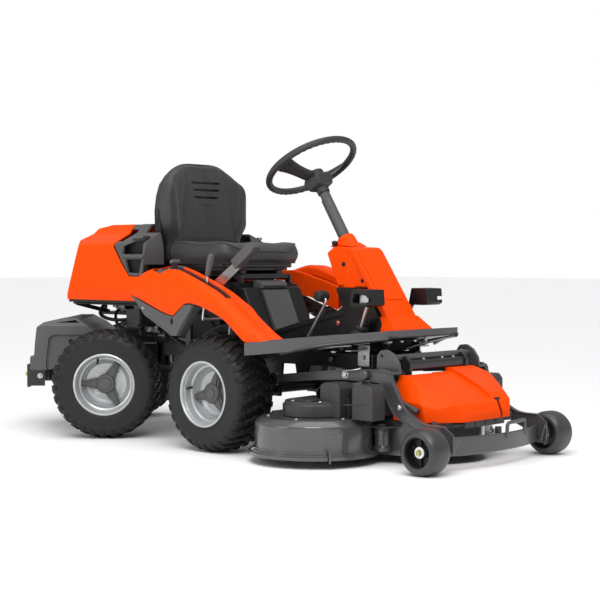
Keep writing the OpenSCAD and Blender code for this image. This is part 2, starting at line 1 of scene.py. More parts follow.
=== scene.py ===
"""Looks of a front-deck riding mower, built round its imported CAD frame.

Lengths in the builders below are in mm in the machine's own frame: x to its left, y to its rear, z up,
y = 0 at the front axle. place() turns them into metres in the frame that the CAD model uses.
"""

import json
import math
import random

import bmesh
import bpy
from mathutils import Matrix, Vector


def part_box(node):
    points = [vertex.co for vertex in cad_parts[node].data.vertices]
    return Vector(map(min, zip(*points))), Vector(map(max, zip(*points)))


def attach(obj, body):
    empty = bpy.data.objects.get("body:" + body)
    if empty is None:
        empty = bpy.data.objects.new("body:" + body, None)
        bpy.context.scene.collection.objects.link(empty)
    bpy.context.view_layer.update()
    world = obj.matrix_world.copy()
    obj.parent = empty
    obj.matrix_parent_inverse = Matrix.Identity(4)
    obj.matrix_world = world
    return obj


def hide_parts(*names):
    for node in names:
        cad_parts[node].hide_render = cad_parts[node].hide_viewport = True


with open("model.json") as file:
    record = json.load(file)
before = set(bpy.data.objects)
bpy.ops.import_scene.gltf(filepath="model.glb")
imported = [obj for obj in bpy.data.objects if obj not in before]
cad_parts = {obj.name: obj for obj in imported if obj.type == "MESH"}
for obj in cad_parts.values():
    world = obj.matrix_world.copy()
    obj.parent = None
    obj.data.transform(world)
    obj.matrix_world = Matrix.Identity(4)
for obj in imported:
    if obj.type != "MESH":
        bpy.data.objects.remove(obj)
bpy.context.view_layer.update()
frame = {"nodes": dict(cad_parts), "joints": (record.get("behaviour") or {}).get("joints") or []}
random.seed(7)

MM = 0.001
JOINTS = {j["name"]: j for j in frame["joints"]}


def shifted(x, y, z):
    """The matrix of a move by that much."""
    return Matrix.Translation((x, y, z))


def turned(degrees, axis):
    """The matrix of a turn about X, Y or Z."""
    return Matrix.Rotation(math.radians(degrees), 4, axis)


# ---------- Frames of the moving groups, from the CAD ----------

right_lo, right_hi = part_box("tyre_front_right")
left_lo, left_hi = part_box("tyre_front_left")
AXLE = (right_lo + right_hi + left_lo + left_hi) / 4
SCALE = Matrix.Diagonal((MM, MM, MM, 1))
MACHINE = shifted(AXLE.x, AXLE.y, 0) @ SCALE

BOGIE_AXIS = JOINTS["rear_left_roll"]["axis"]
BOGIE_TURN = math.atan2(BOGIE_AXIS[1], BOGIE_AXIS[0])
pin = JOINTS["bogie_steer"]["pos_m"]
BOGIE = shifted(pin[0], pin[1], 0) @ Matrix.Rotation(BOGIE_TURN, 4, "Z") @ SCALE

column_joint = JOINTS["steering_turn"]
COLUMN_RAKE = math.atan2(column_joint["axis"][1], column_joint["axis"][2])
COLUMN = Matrix.Translation(column_joint["pos_m"]) @ Matrix.Rotation(-COLUMN_RAKE, 4, "X") @ SCALE


def wheel_frame(joint, side):
    """The wheel's axis is z with its outer face up; side is -1 on the right and 1 on the left."""
    j = JOINTS[joint]
    turn = math.atan2(j["axis"][1], j["axis"][0])
    return (
        Matrix.Translation(j["pos_m"])
        @ Matrix.Rotation(turn, 4, "Z")
        @ Matrix.Rotation(side * math.pi / 2, 4, "Y")
        @ SCALE
    )


ALONG_X = Matrix.Rotation(math.pi / 2, 4, "Y")


# ---------- Mesh builders ----------


def new_mesh(verts, faces, name="part"):
    """A linked object with a checked mesh whose faces point outwards."""
    mesh = bpy.data.meshes.new(name)
    mesh.from_pydata([tuple(v) for v in verts], [], faces)
    mesh.validate()
    obj = bpy.data.objects.new(name, mesh)
    bpy.context.scene.collection.objects.link(obj)
    tidy_normals(obj)
    return obj


def tidy_normals(obj):
    """Turns every closed part of the mesh outwards."""
    bm = bmesh.new()
    bm.from_mesh(obj.data)
    bmesh.ops.recalc_face_normals(bm, faces=bm.faces)
    bm.to_mesh(obj.data)
    bm.free()


def prism(profile, lo, hi, axis="x"):
    """A closed outline pulled from lo to hi. The outline is (y, z) for x, (x, z) for y and (x, y) for z."""
    def point(a, b, c):
        return {"x": (c, a, b), "y": (a, c, b), "z": (a, b, c)}[axis]

    n = len(profile)
    verts = [point(a, b, lo) for a, b in profile] + [point(a, b, hi) for a, b in profile]
    sides = [(i, (i + 1) % n, n + (i + 1) % n, n + i) for i in range(n)]
    return new_mesh(verts, sides + [tuple(range(n - 1, -1, -1)), tuple(range(n, 2 * n))])


def block(lo, hi):
    """A box between two opposite corners."""
    (x0, y0, z0), (x1, y1, z1) = lo, hi
    return prism([(y0, z0), (y1, z0), (y1, z1), (y0, z1)], x0, x1)


def prism_on(side, profile, near, far):
    """A prism along x on one side of the machine, between two distances from the middle."""
    lo, hi = sorted((side * near, side * far))
    return prism(profile, lo, hi)


def block_on(side, lo, hi):
    """A block on one side of the machine, with its x given as distances from the middle."""
    x0, x1 = sorted((side * lo[0], side * hi[0]))
    return block((x0, lo[1], lo[2]), (x1, hi[1], hi[2]))


def loft(rings, closed=True, caps=True):
    """Quads between rings of equal length; caps close the first and the last ring."""
    n = len(rings[0])
    verts = [p for ring in rings for p in ring]
    faces = []
    last = n if closed else n - 1
    for k in range(len(rings) - 1):
        for i in range(last):
            a, b = k * n + i, k * n + (i + 1) % n
            faces.append((a, b, b + n, a + n))
    if caps:
        faces.append(tuple(range(n - 1, -1, -1)))
        faces.append(tuple(range((len(rings) - 1) * n, len(rings) * n)))
    return new_mesh(verts, faces)


def lathe(profile, count=72, closed=True):
    """(radius, height) points turned about z."""
    rings = []
    for k in range(count):
        a = 2 * math.pi * k / count
        rings.append([(r * math.cos(a), r * math.sin(a), z) for r, z in profile])
    n = len(profile)
    verts = [p for ring in rings for p in ring]
    faces = []
    for k in range(count):
        for i in range(n if closed else n - 1):
            a, b = k * n + i, k * n + (i + 1) % n
            c = ((k + 1) % count) * n
            faces.append((a, b, c + (i + 1) % n, c + i))
    obj = new_mesh(verts, faces)
    weld(obj)
    return obj


def weld(obj, distance=0.01):
    """Merges points that lie together and drops faces without area."""
    bm = bmesh.new()
    bm.from_mesh(obj.data)
    bmesh.ops.remove_doubles(bm, verts=bm.verts, dist=distance)
    bmesh.ops.dissolve_degenerate(bm, edges=bm.edges, dist=distance)
    bmesh.ops.recalc_face_normals(bm, faces=bm.faces)
    bm.to_mesh(obj.data)
    bm.free()
    return obj


def curve_points(points, steps=8):
    """A smooth path through the points."""
    pts = [Vector(p) for p in points]
    if len(pts) == 2:
        return pts
    ends = [2 * pts[0] - pts[1]] + pts + [2 * pts[-1] - pts[-2]]
    path = []
    for k in range(1, len(ends) - 2):
        p0, p1, p2, p3 = ends[k - 1:k + 3]
        for s in range(steps):
            t = s / steps
            path.append(0.5 * (
                2 * p1 + (p2 - p0) * t + (2 * p0 - 5 * p1 + 4 * p2 - p3) * t * t
                + (3 * p1 - p0 - 3 * p2 + p3) * t * t * t
            ))
    return path + [pts[-1]]


def sweep(path, section, closed=False, up=(0, 0, 1)):
    """A section of (side, lift) points carried along a path of points."""
    path = [Vector(p) for p in path]
    rings, normal = [], None
    count = len(path)
    for k, p in enumerate(path):
        before = path[(k - 1) % count] if closed or k else p
        after = path[(k + 1) % count] if closed or k < count - 1 else p
        along = (after - before).normalized()
        if normal is None:
            guide = Vector(up)
            if abs(guide.dot(along)) > 0.95:
                guide = Vector((1, 0, 0))
            normal = (guide - along * guide.dot(along)).normalized()
        normal = (normal - along * normal.dot(along)).normalized()
        side = along.cross(normal)
        rings.append([p + side * a + normal * b for a, b in section])
    if closed:
        rings.append(rings[0])
    obj = loft(rings, caps=not closed)
    return weld(obj) if closed else obj


def circle_section(radius, count=16):
    """A round section for sweep()."""
    return [(radius * math.cos(2 * math.pi * k / count), radius * math.sin(2 * math.pi * k / count))
            for k in range(count)]


def tube(points, radius, count=16, smooth=True, steps=8):
    """A round bar or hose through the points."""
    path = curve_points(points, steps) if smooth else [Vector(p) for p in points]
    return sweep(path, circle_section(radius, count))


def rod(a, b, radius, count=24, chamfer=0.8):
    """A round bar with small chamfers on its ends."""
    a, b = Vector(a), Vector(b)
    along = (b - a).normalized()
    path = [a, a + along * chamfer, b - along * chamfer, b]
    guide = Vector((0, 0, 1)) if abs(along.z) < 0.9 else Vector((1, 0, 0))
    normal = (guide - along * guide.dot(along)).normalized()
    side = along.cross(normal)
    rings = []
    for k, p in enumerate(path):
        r = radius - chamfer if k in (0, 3) else radius
        rings.append([p + side * r * math.cos(t) + normal * r * math.sin(t)
                      for t in (2 * math.pi * i / count for i in range(count))])
    return loft(rings)


def bolt(at, direction, radius=6, height=4, washer=True):
    """A hexagon head on a washer, standing on the surface at that point."""
    d = Vector(direction).normalized()
    base = Vector(at)
    guide = Vector((0, 0, 1)) if abs(d.z) < 0.9 else Vector((1, 0, 0))
    normal = (guide - d * guide.dot(d)).normalized()
    side = d.cross(normal)

    def ring(r, h, count, phase=0.0):
        return [base + d * h + side * r * math.cos(phase + 2 * math.pi * i / count)
                + normal * r * math.sin(phase + 2 * math.pi * i / count) for i in range(count)]

    head = loft([ring(radius, 1, 6), ring(radius, height, 6), ring(radius * 0.8, height + 1, 6)])
    parts = [head]
    if washer:
        parts.append(loft([ring(radius * 1.5, -0.5, 24), ring(radius * 1.5, 1.2, 24)]))
    return parts


def rounded(corners, radius, steps=4):
    """The outline with each corner rounded; radius is one number or one for each corner."""
    pts = [Vector(p) for p in corners]
    n = len(pts)
    radii = radius if isinstance(radius, (list, tuple)) else [radius] * n
    out = []
    for k, p in enumerate(pts):
        r = radii[k]
        a, b = pts[k - 1] - p, pts[(k + 1) % n] - p
        if r <= 0:
            out.append(tuple(p))
            continue
        angle = a.angle(b)
        back = min(r / math.tan(angle / 2), a.length * 0.48, b.length * 0.48)
        p0, p1 = p + a.normalized() * back, p + b.normalized() * back
        for s in range(steps + 1):
            t = s / steps
            out.append(tuple(p0 * (1 - t) ** 2 + p * 2 * t * (1 - t) + p1 * t * t))
    return out


def apply_modifiers(obj):
    """Turns the modified shape into the mesh itself."""
    depsgraph = bpy.context.evaluated_depsgraph_get()
    mesh = bpy.data.meshes.new_from_object(obj.evaluated_get(depsgraph))
    obj.modifiers.clear()
    old = obj.data
    obj.data = mesh
    bpy.data.meshes.remove(old)
    return obj


def combine(target, tool, operation="DIFFERENCE", folded=False):
    """Boolean of two closed meshes; the tool may be a list, and is used up. folded is for a target whose
    thin skin may touch itself."""
    for t in tool if isinstance(tool, list) else [tool]:
        m = target.modifiers.new("cut", "BOOLEAN")
        m.operation = operation
        m.object = t
        m.solver = "EXACT"
        m.use_self = folded
        apply_modifiers(target)
        bpy.data.objects.remove(t)
    return target


def bevel(obj, width, segments=3, angle=28):
    """Rounds the edges that are sharper than the angle, in degrees."""
    m = obj.modifiers.new("bevel", "BEVEL")
    m.width = width
    m.segments = segments
    m.limit_method = "ANGLE"
    m.angle_limit = math.radians(angle)
    m.use_clamp_overlap = True
    m.miter_outer = "MITER_ARC"
    return apply_modifiers(obj)


def dissolve(obj, angle=1.0):
    """Removes the edges between faces that lie flat to each other."""
    bm = bmesh.new()
    bm.from_mesh(obj.data)
    bmesh.ops.remove_doubles(bm, verts=bm.verts, dist=0.02)
    bmesh.ops.dissolve_limit(bm, angle_limit=math.radians(angle), verts=bm.verts, edges=bm.edges)
    bm.to_mesh(obj.data)
    bm.free()
    return obj


def subdivide(obj, levels=2):
    """Smooths the mesh by subdivision."""
    m = obj.modifiers.new("subdivision", "SUBSURF")
    m.levels = m.render_levels = levels
    return apply_modifiers(obj)


def shell(obj, thickness, offset=-1):
    """Gives an open skin its thickness."""
    m = obj.modifiers.new("shell", "SOLIDIFY")
    m.thickness = thickness
    m.offset = offset
    m.use_even_offset = True
    return apply_modifiers(obj)


def move(obj, matrix):
    """Applies a matrix to the mesh and returns the object."""
    obj.data.transform(matrix)
    return obj


def mirrored(obj):
    """A copy on the other side of the symmetry plane."""
    copy = obj.copy()
    copy.data = obj.data.copy()
    bpy.context.scene.collection.objects.link(copy)
    copy.data.transform(Matrix.Diagonal((-1, 1, 1, 1)))
    copy.data.flip_normals()
    return copy


def in_material(parts, material):
    """Pairs each part with a material of its own, for piece()."""
    return [(p, material) for p in parts]


def piece(name, parts, body, material, nodes=(), place=MACHINE, sharp=38, weighted=True):
    """Joins parts, which are objects or (object, material), into one piece that rides on a CAD body."""
    made = []
    flat = []
    for p in parts if isinstance(parts, list) else [parts]:
        flat += p if isinstance(p, list) else [p]
    for p in flat:
        obj, own = p if isinstance(p, tuple) else (p, material)
        obj.data.materials.clear()
        obj.data.materials.append(own)
        made.append(obj)
    bpy.ops.object.select_all(action="DESELECT")
    for obj in made:
        obj.select_set(True)
    target = made[0]
    bpy.context.view_layer.objects.active = target
    if len(made) > 1:
        bpy.ops.object.join()
    target.name = target.data.name = name
    target.data.transform(place)
    mesh = target.data
    mesh.shade_smooth()
    mesh.set_sharp_from_angle(angle=math.radians(sharp))
    if weighted:
        m = target.modifiers.new("normals", "WEIGHTED_NORMAL")
        m.keep_sharp = True
        m.weight = 80
        apply_modifiers(target)
        target.data.name = name
    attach(target, body)
    if nodes:
        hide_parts(*nodes)
    return target


# ---------- Materials ----------


def finish_material(name, colour, roughness, metallic=0.0, coat=0.0, coat_roughness=0.1, sheen=0.0,
                    mottle=0.08, mottle_scale=14.0, grain=0.0, grain_scale=900.0, scratch=0.0,
                    specular=0.5, rough_spread=0.08):
    """A surface with broad colour drift, uneven gloss, moulded or cast grain and fine scratches."""
    mat = bpy.data.materials.new(name)
    mat.use_nodes = True
    nodes, links = mat.node_tree.nodes, mat.node_tree.links
    shader = nodes["Principled BSDF"]
    shader.inputs["Metallic"].default_value = metallic
    shader.inputs["Coat Weight"].default_value = coat
    shader.inputs["Coat Roughness"].default_value = coat_roughness
    shader.inputs["Sheen Weight"].default_value = sheen
    shader.inputs["Specular IOR Level"].default_value = specular
    coords = nodes.new("ShaderNodeTexCoord")

    def noise(scale, detail, rough=0.5):
        n = nodes.new("ShaderNodeTexNoise")
        n.inputs["Scale"].default_value = scale
        n.inputs["Detail"].default_value = detail
        n.inputs["Roughness"].default_value = rough
        links.new(coords.outputs["Object"], n.inputs["Vector"])
        return n

    drift = noise(mottle_scale, 5)
    ramp = nodes.new("ShaderNodeValToRGB")
    dark = [c * (1 - mottle) for c in colour]
    light = [min(1.0, c * (1 + mottle) + mottle * 0.01) for c in colour]
    ramp.color_ramp.elements[0].position = 0.3
    ramp.color_ramp.elements[0].color = (*dark, 1)
    ramp.color_ramp.elements[1].position = 0.7
    ramp.color_ramp.elements[1].color = (*light, 1)
    links.new(drift.outputs["Fac"], ramp.inputs["Fac"])
    links.new(ramp.outputs["Color"], shader.inputs["Base Color"])

    gloss = noise(mottle_scale * 4, 4, 0.6)
    span = nodes.new("ShaderNodeMapRange")
    span.inputs["To Min"].default_value = max(0.02, roughness - rough_spread)
    span.inputs["To Max"].default_value = min(1.0, roughness + rough_spread)
    links.new(gloss.outputs["Fac"], span.inputs["Value"])
    links.new(span.outputs["Result"], shader.inputs["Roughness"])

    height = None
    if grain > 0:
        cells = nodes.new("ShaderNodeTexVoronoi")
        cells.inputs["Scale"].default_value = grain_scale
        links.new(coords.outputs["Object"], cells.inputs["Vector"])
        bump = nodes.new("ShaderNodeBump")
        bump.inputs["Strength"].default_value = grain
        bump.inputs["Distance"].default_value = 0.0006
        links.new(cells.outputs["Distance"], bump.inputs["Height"])
        height = bump
    if scratch > 0:
        stretch = nodes.new("ShaderNodeMapping")
        stretch.inputs["Scale"].default_value = (1, 1, 22)
        links.new(coords.outputs["Object"], stretch.inputs["Vector"])
        lines = nodes.new("ShaderNodeTexNoise")
        lines.inputs["Scale"].default_value = 60
        lines.inputs["Detail"].default_value = 8
        links.new(stretch.outputs["Vector"], lines.inputs["Vector"])
        fine = nodes.new("ShaderNodeBump")
        fine.inputs["Strength"].default_value = scratch
        fine.inputs["Distance"].default_value = 0.0004
        links.new(lines.outputs["Fac"], fine.inputs["Height"])
        if height:
            links.new(height.outputs["Normal"], fine.inputs["Normal"])
        height = fine
    if height:
        links.new(height.outputs["Normal"], shader.inputs["Normal"])
    return mat


ORANGE = finish_material("orange_panel", (0.90, 0.066, 0.0006), 0.38, mottle=0.015, specular=0.07)
GREY = finish_material("grey_plastic", (0.075, 0.075, 0.078), 0.46, mottle=0.06, grain=0.25,
                       grain_scale=1100)
DARK_GREY = finish_material("dark_grey_plastic", (0.032, 0.032, 0.034), 0.44, mottle=0.08, grain=0.25,
                            grain_scale=1100)
BLACK = finish_material("black_plastic", (0.0065, 0.0065, 0.007), 0.42, mottle=0.15, grain=0.2,
                        grain_scale=1000, specular=0.35)
BLACK_STEEL = finish_material("black_steel", (0.013, 0.013, 0.014), 0.36, coat=0.2, mottle=0.12,
                              grain=0.08, grain_scale=500)
GREY_STEEL = finish_material("grey_steel", (0.056, 0.057, 0.060), 0.34, coat=0.35, coat_roughness=0.2,
                             mottle=0.06, grain=0.08, grain_scale=420)
DECK_PAINT = finish_material("deck_paint", (0.060, 0.061, 0.063), 0.25, coat=0.6, coat_roughness=0.1,
                             mottle=0.05, grain=0.06, grain_scale=260)
SILVER = finish_material("silver_steel", (0.55, 0.56, 0.55), 0.30, metallic=1.0, mottle=0.1, scratch=0.15)
CAST = finish_material("cast_metal", (0.33, 0.34, 0.34), 0.45, metallic=1.0, mottle=0.25, grain=0.5,
                       grain_scale=600)
RIM_PAINT = finish_material("rim_paint", (0.46, 0.48, 0.485), 0.32, metallic=0.35, coat=0.4, mottle=0.04,
                            grain=0.05, grain_scale=600)
TYRE = finish_material("tyre_rubber", (0.0085, 0.0085, 0.009), 0.62, mottle=0.22, mottle_scale=26,
                       grain=0.4, grain_scale=620, rough_spread=0.12, specular=0.3)
SIDEWALL = finish_material("tyre_sidewall", (0.0105, 0.0105, 0.011), 0.5, mottle=0.12, mottle_scale=20,
                           grain=0.15, grain_scale=900, specular=0.35)
ROLLER = finish_material("roller_plastic", (0.038, 0.038, 0.040), 0.36, mottle=0.06, grain=0.12,
                         grain_scale=800)
SOFT_GRIP = finish_material("soft_grip", (0.028, 0.028, 0.029), 0.5, mottle=0.1, grain=0.35,
                            grain_scale=1300)
VINYL = finish_material("seat_vinyl", (0.024, 0.024, 0.0245), 0.45, mottle=0.1, mottle_scale=9,
                        grain=0.55, grain_scale=780, sheen=0.12)
TANK = finish_material("tank_plastic", (0.66, 0.66, 0.60), 0.4, mottle=0.05, grain=0.1, grain_scale=700)
MESH_RED = finish_material("dark_red_backing", (0.07, 0.008, 0.010), 0.6, mottle=0.3, mottle_scale=20)
COPPER = finish_material("copper_bolt", (0.55, 0.22, 0.16), 0.35, metallic=1.0, mottle=0.1)
NUT_YELLOW = finish_material("yellow_zinc", (0.42, 0.42, 0.12), 0.35, metallic=0.8, mottle=0.1)
WHITE_RING = finish_material("white_nylon", (0.75, 0.75, 0.73), 0.4, mottle=0.05)
RUBBER = finish_material("rubber", (0.012, 0.012, 0.012), 0.6, mottle=0.2, grain=0.2)


# ---------- Wheels ----------

TREAD_R = 200
LUG_PITCHES = 30


def lug(a0, a1, z0, z1, skew, top=TREAD_R, root=188.0, taper=0.12):
    """One tread block between two angles and two widths, leaning by skew radians across its width."""
    verts = []
    za, zb = (z0, z1) if z0 < z1 else (z1, z0)

    def radius_at(z, r):
        shoulder = max(0, min(abs(z), 60) - 30) * 0.14 + max(0, abs(z) - 60) * 0.64
        return r - shoulder

    for level, r in ((0, root), (1, top)):
        inset = level * taper * (a1 - a0)
        for a, z in ((a0 + inset, za), (a1 - inset, za), (a1 - inset + skew, zb), (a0 + inset + skew, zb)):
            edge = 1.2 * level * (1 if z == za else -1)
            rr = radius_at(z, r)
            verts.append((rr * math.cos(a), rr * math.sin(a), z + edge))
    return verts, [(0, 3, 2, 1), (4, 5, 6, 7), (0, 1, 5, 4), (1, 2, 6, 5), (2, 3, 7, 6), (3, 0, 4, 7)]


def tread():
    """Zig-zag turf tread: bent centre blocks and two rows of stepped shoulder blocks."""
    verts, faces = [], []
    pitch = 2 * math.pi / LUG_PITCHES
    for k in range(LUG_PITCHES):
        a = k * pitch
        shift = pitch / 2
        blocks = [
            (a, a + 0.42 * pitch, -22, 1, 0.30 * pitch),
            (a + 0.30 * pitch, a + 0.72 * pitch, 1, 24, -0.30 * pitch),
            (a + shift, a + shift + 0.46 * pitch, -52, -27, 0.24 * pitch),
            (a, a + 0.46 * pitch, 27, 52, -0.24 * pitch),
            (a + 0.10 * pitch, a + 0.62 * pitch, -78, -57, 0.16 * pitch),
            (a + shift + 0.10 * pitch, a + shift + 0.62 * pitch, 57, 78, -0.16 * pitch),
        ]
        for block_size in blocks:
            v, f = lug(*block_size)
            base = len(verts)
            verts += v
            faces += [tuple(i + base for i in q) for q in f]
    return bevel(new_mesh(verts, faces), 1.3, 2)


def shoulder_teeth():
    """Short ribs that carry the shoulder blocks down the sidewall."""
    verts, faces = [], []
    pitch = 2 * math.pi / LUG_PITCHES
    for side in (-1, 1):
        for k in range(LUG_PITCHES):
            a = (k + (0.1 if side < 0 else 0.6)) * pitch
            long_rib = k % 2 == 0
            low = 168 if long_rib else 174
            ring = []
            for a_edge in (a + 0.04 * pitch, a + 0.52 * pitch):
                for r, z in ((186, 74), (181, 78), (low, 81.6), (low, 79), (181, 70)):
                    ring.append((r * math.cos(a_edge), r * math.sin(a_edge), side * z))
            base = len(verts)
            verts += ring
            faces += [tuple(base + i for i in range(5)), tuple(base + 9 - i for i in range(5))]
            faces += [(base + i, base + (i + 1) % 5, base + 5 + (i + 1) % 5, base + 5 + i) for i in range(5)]
    return bevel(new_mesh(verts, faces), 1.0, 2)


def carcass():
    """Body of the tyre, without its tread."""
    profile = [
        (104, -72), (112, -79), (120, -81), (124, -82), (140, -82.2), (146, -81.4), (149, -82), (163, -81.5),
        (174, -79), (181, -74), (185.5, -66), (188.5, -50), (191, -30), (191.5, 0)
    ]
    profile += [(r, -z) for r, z in reversed(profile[:-1])]
    return lathe(profile, 144)


def make_tyre(name, body, node, place):
    """One tyre: smooth sidewalls, tread blocks and shoulder ribs."""
    piece(name, [(carcass(), SIDEWALL), (tread(), TYRE), (shoulder_teeth(), TYRE)], body, TYRE,
          [node], place, sharp=40, weighted=False)


def rim_shape():
    """Rounded outer lip, stepped barrel and a dished disc with a raised ring."""
    half = [
        (11, 28), (25, 28), (28, 21), (34, 17), (58, 16), (64, 20), (74, 21), (80, 16), (86, 13), (89, 18),
        (90, 30), (91, 42), (97, 45), (99, 50), (99.5, 62), (102, 70), (105, 73.5), (109, 74.5), (112.5, 77),
        (113, 80.5), (110, 82), (106, 81), (102.5, 78)
    ]
    back = [(100, -78), (103, -81), (110, -80), (110, -76), (103, -72), (96, -60), (96, -10), (92, 8),
            (80, 10), (60, 10), (34, 10), (30, 6), (26, -30), (11, -30)]
    outer_seat = [(103, 70)]
    return lathe(half[:-1] + [(103, 77)] + outer_seat + [(103.2, -68)] + back, 96)


def valve_stem(angle):
    """Stem and cap at an angle round the rim."""
    r = 92
    c, s = math.cos(angle), math.sin(angle)
    at = (r * c, r * s, 44)
    tip = (84 * c, 84 * s, 70)
    return [rod(at, tip, 4.2), rod((85 * c, 85 * s, 66), (82 * c, 82 * s, 76), 5)]


def hub_cover():
    """A three-armed cap: a stepped round centre and arms that narrow towards the rim."""
    parts = []
    arm = rounded([(14, -25), (34, -21), (64, -14), (92, -8), (92, 8), (64, 14), (34, 21), (14, 25)], 5)
    ridge = rounded([(20, -13), (60, -7), (86, -4), (86, 4), (60, 7), (20, 13)], 3)
    for k in range(3):
        turn = turned(90 + 120 * k, "Z")
        parts.append(move(bevel(prism(arm, 23, 34, "z"), 2.5), turn))
        parts.append(move(bevel(prism(ridge, 33, 38, "z"), 1.8), turn))
    centre = lathe([(0, 24), (33, 24), (36, 27), (36, 38), (33, 42), (29, 44), (27, 44), (26, 42), (20, 42),
                    (19, 45), (10, 46.5), (0, 46.5)], 72, closed=False)
    return parts + [centre]


WHEELS = [("front_right", -1), ("front_left", 1), ("rear_right", -1), ("rear_left", 1)]


def make_wheels():
    """Tyre, rim with its bolts, and hub cover of each of the four drive wheels."""
    for where, side in WHEELS:
        place = wheel_frame(where + "_roll", side)
        body = "wheel_" + where
        turn = {"front_right": 1.1, "front_left": 0.4, "rear_right": 0.0, "rear_left": 2.0}[where]
        spin = place @ Matrix.Rotation(turn, 4, "Z")
        make_tyre("tyre_" + where + "_look", body, "tyre_" + where, spin)
        rim = [rim_shape()] + in_material(valve_stem(0.3), RUBBER)
        bolts = []
        for k in range(4):
            a = math.radians(45 + 90 * k)
            bolts += bolt((48 * math.cos(a), 48 * math.sin(a), 16), (0, 0, 1), 6.5, 6)
        if where.startswith("rear"):
            rim.append((rod((0, 0, -215), (0, 0, 30), 10, 40), SILVER))
        piece("rim_" + where + "_look", rim + in_material(bolts, SILVER), body, RIM_PAINT,
              ["rim_" + where], spin)
        arms = spin @ Matrix.Rotation(HUB_TURN[where], 4, "Z")
        piece("hub_cover_" + where + "_look", hub_cover(), body, GREY,
              ["hub_cover_" + where], arms)


HUB_TURN = {"front_right": -0.9, "front_left": 0.0, "rear_right": 0.0, "rear_left": 0.5}


def support_wheel():
    """A smooth broad roller with a deep hub well on its outer side."""
    return lathe([
        (8, -38), (20, -38), (21, -14), (46, -12), (50, -44), (54, -45), (60, -43.5), (66, -38), (70, -30),
        (72.4, -18), (73, 0), (72.4, 18), (70, 30), (66, 38), (60, 43.5), (54, 45), (49, 44), (47, 40),
        (45.5, 12), (22, 10), (19, 26), (8, 26)
    ], 96)


def roller_ribs():
    """Six flat ribs inside the hub well."""
    parts = []
    for k in range(6):
        turn = turned(60 * k, "Z")
        parts.append(move(block((16, -1.5, 8), (47, 1.5, 22)), turn))
    return parts


def make_support_wheels():
    """The two broad rollers at the front of the cutting unit."""
    for side, name in ((-1, "right"), (1, "left")):
        place = wheel_frame("support_" + name + "_roll", side)
        well = lathe([(20, 12.5), (45.2, 12.5), (46.5, 39), (45, 39), (43.5, 14), (20, 14)], 72)
        ring = lathe([(9, 26), (17, 26), (18, 28), (17, 30), (9, 30)], 48)
        nut = bolt((0, 0, 31), (0, 0, 1), 8.5, 6, washer=False)
        piece("support_wheel_" + name, [support_wheel(), (well, BLACK), (ring, WHITE_RING)]
              + in_material(roller_ribs(), BLACK) + in_material(nut, NUT_YELLOW),
              "support_" + name, ROLLER, ["deck_wheel_" + name], place)


# ---------- Seat ----------


def smooth_step(a, b, x):
    """Rises smoothly from 0 at a to 1 at b."""
    t = min(1.0, max(0.0, (x - a) / (b - a)))
    return t * t * (3 - 2 * t)


def ring_groove(d, width, depth):
    """A sewn channel: how far the surface is pulled in at distance d from the seam."""
    return -depth * math.exp(-(d / width) ** 2)


def pillow(outline, centre, height_top, height_bottom, count_top=34, side_steps=9, bulge=5.0):
    """A closed padded form over an outline in its own plane. height_top and height_bottom give the third
    coordinate of the two faces at a point of that plane."""
    cx, cy = centre
    rings = []

    def ring(scale, height, swell=0.0):
        out = []
        for x, y in outline:
            dx, dy = x - cx, y - cy
            length = math.hypot(dx, dy)
            k = scale + swell / length
            px, py = cx + dx * k, cy + dy * k
            out.append((px, py, height(px, py) if callable(height) else height))
        return out

    for k in range(6):
        rings.append(ring(0.02 + 0.93 * k / 5, height_bottom))
    edge = 0.955
    for k in range(side_steps + 1):
        t = k / side_steps
        swell = bulge * math.sin(math.pi * t)
        base = ring(edge + 0.03 * math.sin(math.pi * t), 0.0, swell - bulge)
        out = []
        for x, y, _ in base:
            low, high = height_bottom(x, y), height_top(x, y)
            out.append((x, y, low + (high - low) * (0.04 + 0.90 * t)))
        rings.append(out)
    for k in range(count_top):
        s = edge * 0.985 * math.cos(math.pi / 2 * k / count_top)
        rings.append(ring(max(s, 0.015), height_top))
    return loft(rings)


def remap(obj, function):
    """Moves every point to where the function puts it."""
    for v in obj.data.vertices:
        v.co = Vector(function(*v.co))
    tidy_normals(obj)
    return obj


def puff(obj, cap=3.0, frames=12, pressure=3.0):
    """Lets the skin swell a little under pressure as stuffed vinyl does, no point moving over cap mm."""
    rest = [v.co.copy() for v in obj.data.vertices]
    obj.data.transform(SCALE)
    cloth = obj.modifiers.new("cloth", "CLOTH")
    cloth.settings.quality = 4
    cloth.settings.use_pressure = True
    cloth.settings.uniform_pressure_force = pressure
    cloth.settings.effector_weights.gravity = 0
    cloth.settings.tension_stiffness = 30
    cloth.settings.bending_stiffness = 4
    cloth.point_cache.frame_start, cloth.point_cache.frame_end = 1, frames
    for f in range(1, frames + 1):
        bpy.context.scene.frame_set(f)
    apply_modifiers(obj)
    bpy.context.scene.frame_set(1)
    obj.data.transform(SCALE.inverted())
    for v, r in zip(obj.data.vertices, rest):
        d = v.co - r
        if d.length > cap:
            v.co = r + d * (cap / d.length)
    return obj


CUSHION = {"half": 216, "front": 124, "rear": 468, "base": 644, "flat": 702}


def cushion_outline(count=132):
    """Rounded plan: full at the front corners, drawn in where the backrest stands."""
    c = CUSHION
    corners = [
        (-c["half"] + 6, c["rear"] - 6), (-c["half"] + 1, 330), (-c["half"], 215),
        (-c["half"] + 20, c["front"] + 26),
        (-105, c["front"] + 2), (105, c["front"] + 2), (c["half"] - 20, c["front"] + 26), (c["half"], 215),
        (c["half"] - 1, 330), (c["half"] - 6, c["rear"] - 6)
    ]
    path = rounded(corners, [46, 120, 120, 62, 160, 160, 62, 120, 120, 46], 8)
    return even(path, count)


